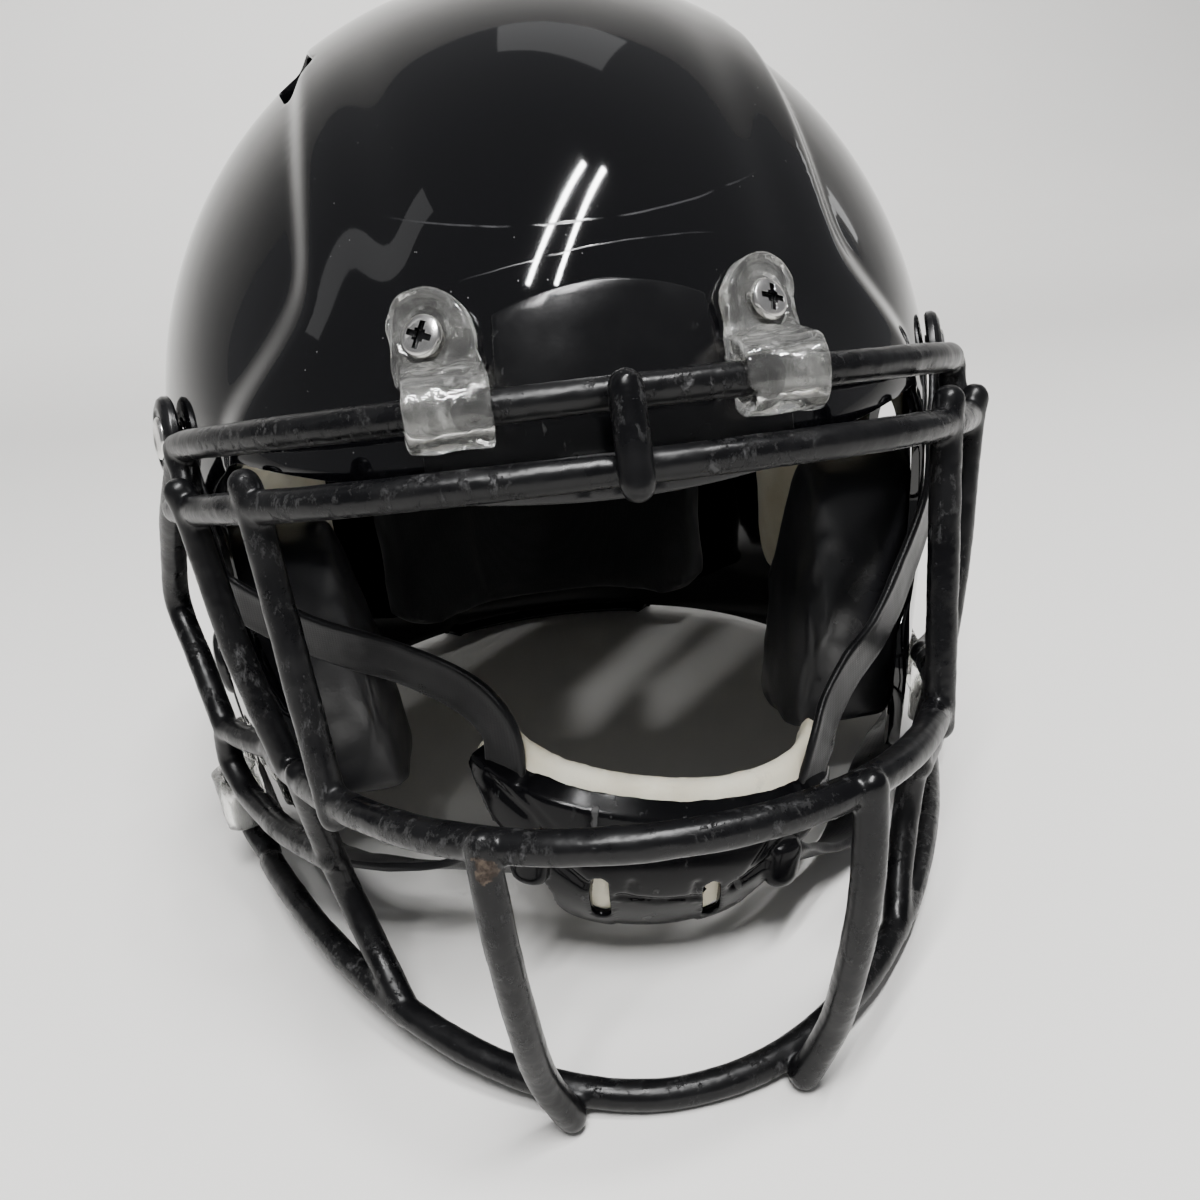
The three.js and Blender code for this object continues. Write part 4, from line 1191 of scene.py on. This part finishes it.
def make_snap(kind, side, sign, place, normal):
    """A stud riveted through the wall, and an oval buckle cover with a button that snaps over it."""
    name = f"{kind}_snap_{side}"
    foot = -WALL - GAP - 1.6
    stud = [
        (0, foot), (5, foot), (5.5, foot + 0.6), (5.2, foot + 1.3), (2.4, foot + 1.5), (2.4, 0.2), (5.2, 0.5),
        (4.4, 1.5), (5, 2.5), (4.2, 3.1), (0, 3.3),
    ]
    make_turned(f"{name}_post", stud, place, normal, SNAP_METAL, "shell", "snap_metal", f"{name}_stud")
    body = f"{kind}_buckle_{side}"
    cover = [
        (0, 1.0), (9.2, 1.0), (10, 1.7), (10, 3.4), (9.3, 4.6), (7.6, 5.4), (6.9, 5.4), (6.5, 4.9), (0, 4.9),
    ]
    points, faces = lathe(cover, 56)
    points[:, 1] *= COVER_STRETCH
    axes = basis(normal, STRAP_LINE[kind] * (sign, 1, 1))
    piece = solid(f"{body}_cover", placed(points, axes, place), faces, MOULDING)
    boolean(piece, solid("cavity", *rod(place, normal, 6, -1, 3.9)))
    bevelled(piece, 0.35, 25, 3)
    stand_for(piece, body, "buckle_black", f"{name}_buckle")
    button = [(0, 4.7), (6.2, 4.7), (6.2, 5.5), (5.6, 6.1), (4, 6.35), (3.4, 6.1), (2.6, 5.9), (0, 5.8)]
    make_turned(f"{body}_button", button, place, normal, SNAP_METAL, body, "snap_metal")


# ---------------------------------------------------------------- chin cup


def in_cup_frame(points):
    """(across, forward, up) points of the tilted cup as helmet points."""
    across, forward, up = np.asarray(points, float).T
    x = across * math.cos(CUP_TILT) + up * math.sin(CUP_TILT)
    z = up * math.cos(CUP_TILT) - across * math.sin(CUP_TILT)
    return np.column_stack([x, -forward, z]) + CUP_CENTRE


def cup_top(turn):
    """How high on the bowl the front wall ends and the shelf begins, as an angle."""
    rise = np.full_like(turn, 0.2)
    for _ in range(5):
        across = CUP_RADII[0] * np.sin(turn) * np.cos(rise)
        rise = np.arcsin((CUP_WALL_TOP + 2 * (across / CUP_HALF_SPAN) ** 2) / CUP_RADII[2])
    return rise


def line_distance(points, line):
    """Distance of plane points from a line through a few points."""
    best = np.full(len(points), 1e9)
    for a, b in zip(line, line[1:]):
        a, b = np.array(a, float), np.array(b, float)
        along = np.clip(((points - a) @ (b - a)) / ((b - a) @ (b - a)), 0, 1)
        best = np.minimum(best, np.linalg.norm(points - a - along[:, None] * (b - a), axis=1))
    return best


def cup_surface(plane):
    """Points of the cup from (turn, rise) angles: an oval bowl, then a sloping shelf to the pad."""
    turn, rise = np.asarray(plane).T
    top = cup_top(turn)
    shelf = np.maximum(rise - top, 0) * CUP_RADII[2]
    rise = np.minimum(rise, top)
    across = CUP_RADII[0] * np.sin(turn) * np.cos(rise)
    forward = CUP_RADII[1] * np.cos(turn) * np.cos(rise)
    up = CUP_RADII[2] * np.sin(rise)
    out = np.column_stack([across / CUP_RADII[0] ** 2, forward / CUP_RADII[1] ** 2])
    out /= np.linalg.norm(out, axis=1)[:, None]
    normal = np.column_stack([out * np.cos(rise)[:, None], np.sin(rise)])
    flat = np.column_stack([across, up])
    sunk = np.zeros(len(turn))
    for line, depth, width in CUP_GROOVES:
        for sign in (1, -1):
            sunk = np.maximum(sunk, depth * np.exp(-(line_distance(flat * (sign, 1), line) / width) ** 2))
    leaned = across + math.tan(CUP_SLOT_LEAN) * (up - CUP_SLOT["up"])
    plate = (np.abs(leaned) < CUP_PLATE["half_width"]) & (up < CUP_SLOT["up"])
    sunk = np.maximum(sunk, np.where(plate, CUP_PLATE["depth"], 0))
    points = np.column_stack([across, forward, up]) - normal * sunk[:, None]
    points[:, :2] -= out * shelf[:, None] * 0.8
    points[:, 2] += shelf * 0.6
    return points


def cup_angles(flat):
    """(across, up) outline points as (turn, rise) angles on the bowl."""
    across, up = np.asarray(flat, float).T
    rise = np.arcsin(np.clip(up / CUP_RADII[2], -1, 1))
    turn = np.arcsin(np.clip(across / (CUP_RADII[0] * np.cos(rise)), -0.985, 0.985))
    return np.column_stack([turn, rise])


def make_chin_cup():
    lower = curve2d(
        (52.4, 6), (46, -4), ((36, -10), (28, -24)), ((24, -36), (14, -38)), (-14, -38),
        ((-24, -36), (-28, -24)), ((-36, -10), (-46, -4)), (-52.4, 6), step=1.0,
    )
    lower = cup_angles(lower)
    turns = np.linspace(lower[-1][0], lower[0][0], 110)
    upper = np.column_stack([turns, cup_top(turns) + CUP_SHELF / CUP_RADII[2]])
    loops = [np.concatenate([lower, upper])]
    for sign in (1, -1):
        slot = slot2d(sign * CUP_SLOT["across"], CUP_SLOT["up"], CUP_SLOT["length"], CUP_SLOT["width"],
                      math.pi / 2 + CUP_SLOT_LEAN)
        loops.append(cup_angles(slot))
    step = 1.1 / CUP_RADII[2]
    grid = [(turn + 0.5 * step * (k % 2), rise) for k, rise in enumerate(np.arange(-1, 0.6, step * 0.87))
            for turn in np.arange(-1.5, 1.5, step)]
    plane, faces = fill_loops(loops, np.array(grid), step)
    points = in_cup_frame(cup_surface(plane))
    cup = add_object("chin_cup_shell", points, faces, CUP_BLACK)
    parts = [thickened(cup, points, faces, points - CUP_CENTRE, CUP_WALL)]
    for sign in (1, -1):
        seat = cup_surface(cup_angles([(sign * CUP_LUG_AT[0], CUP_LUG_AT[1])]))[0]
        out = np.array([seat[0] / CUP_RADII[0] ** 2, seat[1] / CUP_RADII[1] ** 2, 0])
        points, faces = lathe(CUP_LUG, 24)
        lug = placed(points * (1.15, 0.8, 1), basis((0, 0, 1), out), seat + out / np.linalg.norm(out) * 0.4)
        parts.append(solid("lug", in_cup_frame(lug), faces, CUP_BLACK))
    cup = moulded(joined(parts, "chin_cup_shell"), fine(0.6), 4)
    stand_for(cup, "shell", "cup_gloss", "chin_cup")


def make_cup_pad():
    """The soft lining inside the cup, with a round roll standing above the shelf."""
    rows = []
    turns = np.linspace(-1.5, 1.5, 96)
    for turn, top in zip(turns, cup_top(turns)):
        across = CUP_RADII[0] * math.sin(turn)
        out = np.array([math.sin(turn) / CUP_RADII[0], math.cos(turn) / CUP_RADII[1]])
        out /= np.linalg.norm(out)
        ends = (abs(across) / CUP_HALF_SPAN) ** 4
        bottom = np.interp(abs(across), (0, 14, 24, 28, 36, 46, 53), (-35, -34, -31, -22, -10, -2, 4))
        lip = CUP_RADII[2] * math.sin(top) + CUP_SHELF * 0.6
        wall = [(3.2, share) for share in np.linspace(bottom + 1.5, lip - 4.6, 10)]
        roll = [(4.6, lip - 2.2), (4.9, lip + 0.6), (5.2, lip + 2.2 + 2 * ends), (6.6, lip + 4.0 + 3 * ends),
                (8.6, lip + 4.4 + 3 * ends), (10.3, lip + 3.0 + 2 * ends), (10.6, lip)]
        inner = [(9.8, share) for share in np.linspace(lip - 4, bottom + 2.5, 10)]
        section = wall + roll + inner + [(8.6, bottom + 0.6), (6.4, bottom), (4.4, bottom + 0.4)]
        row = []
        for inward, up in section:
            rise = math.asin(max(-1, min(1, up / CUP_RADII[2]))) if up < lip - 4 else top
            at = np.array([across * math.cos(rise), CUP_RADII[1] * math.cos(turn) * math.cos(rise)])
            row.append((*(at - out * inward), up))
        rows.append(row)
    faces = row_faces(len(rows), len(rows[0]))
    pad = solid("chin_cup_lining", in_cup_frame(np.concatenate(rows)), faces, FOAM)
    moulded(pad, 1.1, 5)
    roughened(pad, ((14, 0.5), (5, 0.25), (1.6, 0.1)))
    stand_for(pad, "shell", "foam_cream", "chin_cup_pad")


# ---------------------------------------------------------------- straps

UPPER_ROUTE = {
    -1: [(-40, -79, 84.2), (-56.2, -68, 91), (-81.7, -53, 97.1), (-104, -38.5, 108)],
    1: [(58.7, -80, 63.2), (68.7, -70, 71), (80.9, -60, 77.4), (93.7, -48, 90.1), (104, -38.5, 106)],
}
LOWER_ROUTE = {
    -1: [(-46.4, -80, 32.4), (-62, -71, 28.5), (-76, -60, 25), (-87, -44, 18), (-100, -12, 9), (-119, 22, 9)],
    1: [(49.3, -82, 18.8), (64.8, -68, 10.5), (84, -38, 9), (103, -6, 8), (119, 22, 9)],
}
UPPER_FACINGS = [
    (0.7, -0.71, 0), (0.7, -0.71, 0), (0.52, -0.83, -0.1), (0.56, -0.78, -0.15), (0.85, -0.5, 0.1),
]
LOWER_FACINGS = [(0.6, -0.8, 0), (0.4, -0.5, -0.7), (0.3, -0.3, -0.9), (0.2, -0.1, -1), (1, 0, -0.3)]


def spread_facings(facings, count):
    """As many facings as there are points, spaced evenly through the chosen ones."""
    marks = np.linspace(0, len(facings) - 1, count)
    return np.column_stack([np.interp(marks, range(len(facings)), facings[:, k]) for k in range(3)])


def on_side(y, z, sign, lift):
    """A place this far above the skin of the shell's side."""
    place, normal = skin_place(y=y, z=z, sign=sign)
    return place + normal * lift


def make_strap(kind, side, sign, snap, cup_ends, route, facings, settled):
    """A strap from inside the cup, through free air, then flat on the shell to under its buckle."""
    route = [*in_cup_frame(mirrored(cup_ends, sign)), *route]
    points = np.array([*map(tuple, route), *(on_side(*place, sign, STRAP_LIFT) for place in settled)])
    turned = spread_facings(mirrored(facings, sign), len(route))
    turned = np.concatenate([turned, np.tile(snap[1], (len(settled), 1))])
    track = smooth_path(np.hstack([points, turned * FACING_WEIGHT]), STRAP_STEPS)
    band = strip(track[:, :3], track[:, 3:], STRAP_WIDTH, STRAP_THICKNESS, 0.25)
    strap = solid(f"{kind}_strap_{side}_band", *band, WEBBING)
    roughened(strap, ((16, 0.35), (5, 0.12)))
    stand_for(strap, None, "strap_web", f"{kind}_strap_{side}")
    start, end = (tuple(track[step, :3] * MM) for step in STRAP_BLEND)
    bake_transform(strap)
    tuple(start)
    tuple(end)


def make_straps(side, sign, upper, lower):
    make_strap("upper", side, sign, upper, [(42, 17.5, 3), (45, 14.5, 19)], UPPER_ROUTE[sign],
               UPPER_FACINGS, ((-32, 121), (-18.3, 138.3), (-15, 143)))
    make_strap("lower", side, sign, lower, [(34, 26, -11), (39, 23, -14)], LOWER_ROUTE[sign],
               LOWER_FACINGS, ((35, 22), (39.5, 41.4), (40, 46)))


# ---------------------------------------------------------------- liner pads

PAD_CLEARANCE = 0.8           # from the shell's inner face
PUFF_PRESSURE = 4.0
PUFF_FRAMES = 20


def inside_shell(pad):
    """Pushes back whatever of a pad reaches into the shell's wall."""
    away = mesh_points(pad.data) / MM - CENTRE
    reach = np.linalg.norm(away, axis=1)
    directions = directions_of(away + CENTRE)
    limit = np.linalg.norm(skin_points(directions) - CENTRE, axis=1) - WALL - PAD_CLEARANCE
    set_points(pad.data, (away * (np.minimum(reach, limit) / reach)[:, None] + CENTRE) * MM)


def puffed(pad, voxel, cap):
    """Swells a pad as air or foam under a cover does: cloth under pressure, each point's move capped."""
    moulded(pad, voxel, 4)
    rest = mesh_points(pad.data)
    cloth = pad.modifiers.new("cloth", "CLOTH")
    cloth.settings.use_pressure = True
    cloth.settings.uniform_pressure_force = PUFF_PRESSURE
    cloth.settings.effector_weights.gravity = 0
    for step in range(1, PUFF_FRAMES + 1):
        bpy.context.scene.frame_set(step)
    settle(pad)
    bpy.context.scene.frame_set(1)
    moves = mesh_points(pad.data) - rest
    length = np.maximum(np.linalg.norm(moves, axis=1), 1e-9)
    set_points(pad.data, rest + moves * np.minimum(1, cap * MM / length)[:, None])
    inside_shell(pad)
    subdivision = pad.modifiers.new("round", "SUBSURF")
    subdivision.levels = 2
    settle(pad)
    pad.data.shade_smooth()


def layer_pad(name, loop, material, slot, near, far, least_x=0):
    """A pad between two depths under the outer skin, kept outside least_x of the middle plane if given."""
    pad = form_panel(f"{name}_cushion", [loop], 6, -WALL - near, far - near, material, 1.0)
    if least_x:
        points = mesh_points(pad.data)
        side = np.sign(points[:, 0].mean())
        points[:, 0] = side * np.maximum(side * points[:, 0], least_x * MM)
        set_points(pad.data, points)
    puffed(pad, voxel=4.5, cap=2.0)
    roughened(pad, ((22, 0.8), (8, 0.3)))
    stand_for(pad, "shell", slot, name)


def make_pads():
    crown = seen_from_top(circle2d(50, 60, (0, 44)))
    layer_pad("crown_pad", crown, FOAM, "foam_cream", near=2.5, far=20)
    brow = rounded2d([(-60, 158), (60, 158), (54, 194), (-54, 194)], 9)
    layer_pad("front_pad", seen_from_front(brow), VINYL, "pad_black", near=2.5, far=16.5)
    back = rounded2d([(-78, 14), (78, 14), (80, 126), (-80, 126)], 14)
    layer_pad("back_pad", seen_from_front(back, rear=True), CLOTH, "pad_cloth", near=3, far=24)
    for side, sign in SIDES:
        flank = rounded2d([(64, 42), (106, 36), (110, 188), (12, 188), (16, 134), (60, 128)], 10)
        flank = seen_from_side(flank, sign)
        layer_pad(f"side_pad_{side}", flank, FOAM, "foam_cream", near=3, far=28, least_x=86)
        make_jaw_pad(side, sign)


def make_jaw_pad(side, sign):
    """A thick vinyl pad beside the cheek, square to the front with well-rounded edges."""
    outline = rounded2d([(-29, 27), (11, 21), (21, 69), (5, 117), (-21, 111), (-33, 60)], 8)
    inner, outer = np.interp(outline[:, 1], (20, 120), (61, 77)), 118.0
    points = [(sign * x, y, z) for x, (y, z) in zip(inner, outline)]
    points += [(sign * outer, y, z) for y, z in outline]
    pad = solid(f"jaw_pad_{side}_cushion", points, prism_x(outline, 0, 1)[1], VINYL)
    moulded(pad, 3.0, 6)
    inside_shell(pad)
    puffed(pad, voxel=3.5, cap=1.6)
    roughened(pad, ((25, 0.6), (8, 0.2)))
    stand_for(pad, "shell", "pad_black", f"jaw_pad_{side}")


# ---------------------------------------------------------------- stage, light and camera

CAMERA = {"place": (-37.7, -366.8, 231.2), "turn": (66.744, 4.551, -8.858), "lens": 36.0}


def make_camera():
    data = bpy.data.cameras.new("camera")
    data.lens = CAMERA["lens"]
    data.sensor_width = 36
    data.sensor_height = 36
    data.clip_start = 0.01
    camera = bpy.data.objects.new("camera", data)
    camera.location = Vector(CAMERA["place"]) * MM
    camera.rotation_euler = [math.radians(angle) for angle in CAMERA["turn"]]
    bpy.context.scene.collection.objects.link(camera)
    bpy.context.scene.camera = camera


def add_light(name, size, power):
    data = bpy.data.lights.new(name, "AREA")
    data.shape = "RECTANGLE"
    data.size, data.size_y = size
    data.energy = power
    light = bpy.data.objects.new(name, data)
    bpy.context.scene.collection.objects.link(light)
    return light


def area_light(name, place, target, size, power):
    light = add_light(name, size, power)
    light.location = place
    light.rotation_euler = (Vector(target) - Vector(place)).to_track_quat("-Z", "Y").to_euler()


def tube_light(name, start, end, width, power):
    """A long ceiling tube between two places, shining down."""
    start, end = Vector(start), Vector(end)
    light = add_light(name, ((end - start).length, width), power)
    along = (end - start).normalized()
    across = Vector((0, 0, 1)).cross(along)
    turn = Matrix((along, across, (0, 0, 1))).transposed().to_4x4()
    light.matrix_world = Matrix.Translation((start + end) / 2) @ turn


def make_stage():
    """A pale floor that sweeps up behind, under a dim room with two ceiling tubes and a window."""
    bend = [(1300 + 1200 * math.sin(turn), 1200 - 1200 * math.cos(turn))
            for turn in np.linspace(0, math.pi / 2, 16)]
    profile = [(-2500, 0), *bend, (2500, 3200)]
    points = [(x, y, z) for y, z in profile for x in (-4000, 4000)]
    faces = [(2 * i, 2 * i + 1, 2 * i + 3, 2 * i + 2) for i in range(len(profile) - 1)]
    add_object("floor", points, faces, FLOOR)
    world = bpy.data.worlds.new("world")
    world.use_nodes = True
    background = world.node_tree.nodes["Background"].inputs
    background["Color"].default_value = (0.96, 0.97, 1.0, 1)
    background["Strength"].default_value = 0.24
    bpy.context.scene.world = world
    tube_light("tube_one", (-0.682, -1.269, 2.0), (0.328, -0.225, 2.0), width=0.05, power=50)
    tube_light("tube_two", (-0.316, -1.363, 2.0), (0.545, -0.249, 2.0), width=0.05, power=50)
    area_light("window", (-3.0, 0.1, 2.6), (0, 0, 0.15), size=(0.5, 2.4), power=2.4)
    area_light("far_window", (3.4, 2.4, 1.5), (0, 0, 0.1), size=(0.3, 1.2), power=1.8)
    area_light("ceiling_behind", (0.6, 2.2, 3.4), (0, 0.3, 0), size=(1.6, 1.0), power=2.5)
    area_light("wall_wash", (0.0, 0.9, 1.2), (0, 2.4, 0.9), size=(2.4, 0.4), power=34)


# ---------------------------------------------------------------- assembly

make_camera()
make_stage()
make_shell()
make_bumpers()
make_mask()
for side, sign in SIDES:
    places = {kind: skin_place(sign=sign, **at) for kind, (at, _) in FASTENERS.items()}
    make_front_clip(side, sign, places["front_screw"])
    make_screw(f"front_clip_screw_{side}", *places["front_screw"], lift=3.6, tip=-WALL - 1, body="shell")
    make_nut(f"front_clip_nut_{side}", *places["front_screw"])
    make_side_clip(side, sign, places["side_screw"])
    make_screw(f"side_clip_screw_{side}", *places["side_screw"], lift=3.9, tip=0.6, body="facemask")
    make_nut(f"side_clip_nut_{side}", *places["side_screw"])
    make_snap("upper", side, sign, *places["upper_snap"])
    make_snap("lower", side, sign, *places["lower_snap"])
    make_straps(side, sign, places["upper_snap"], places["lower_snap"])
make_chin_cup()
make_cup_pad()
make_pads()
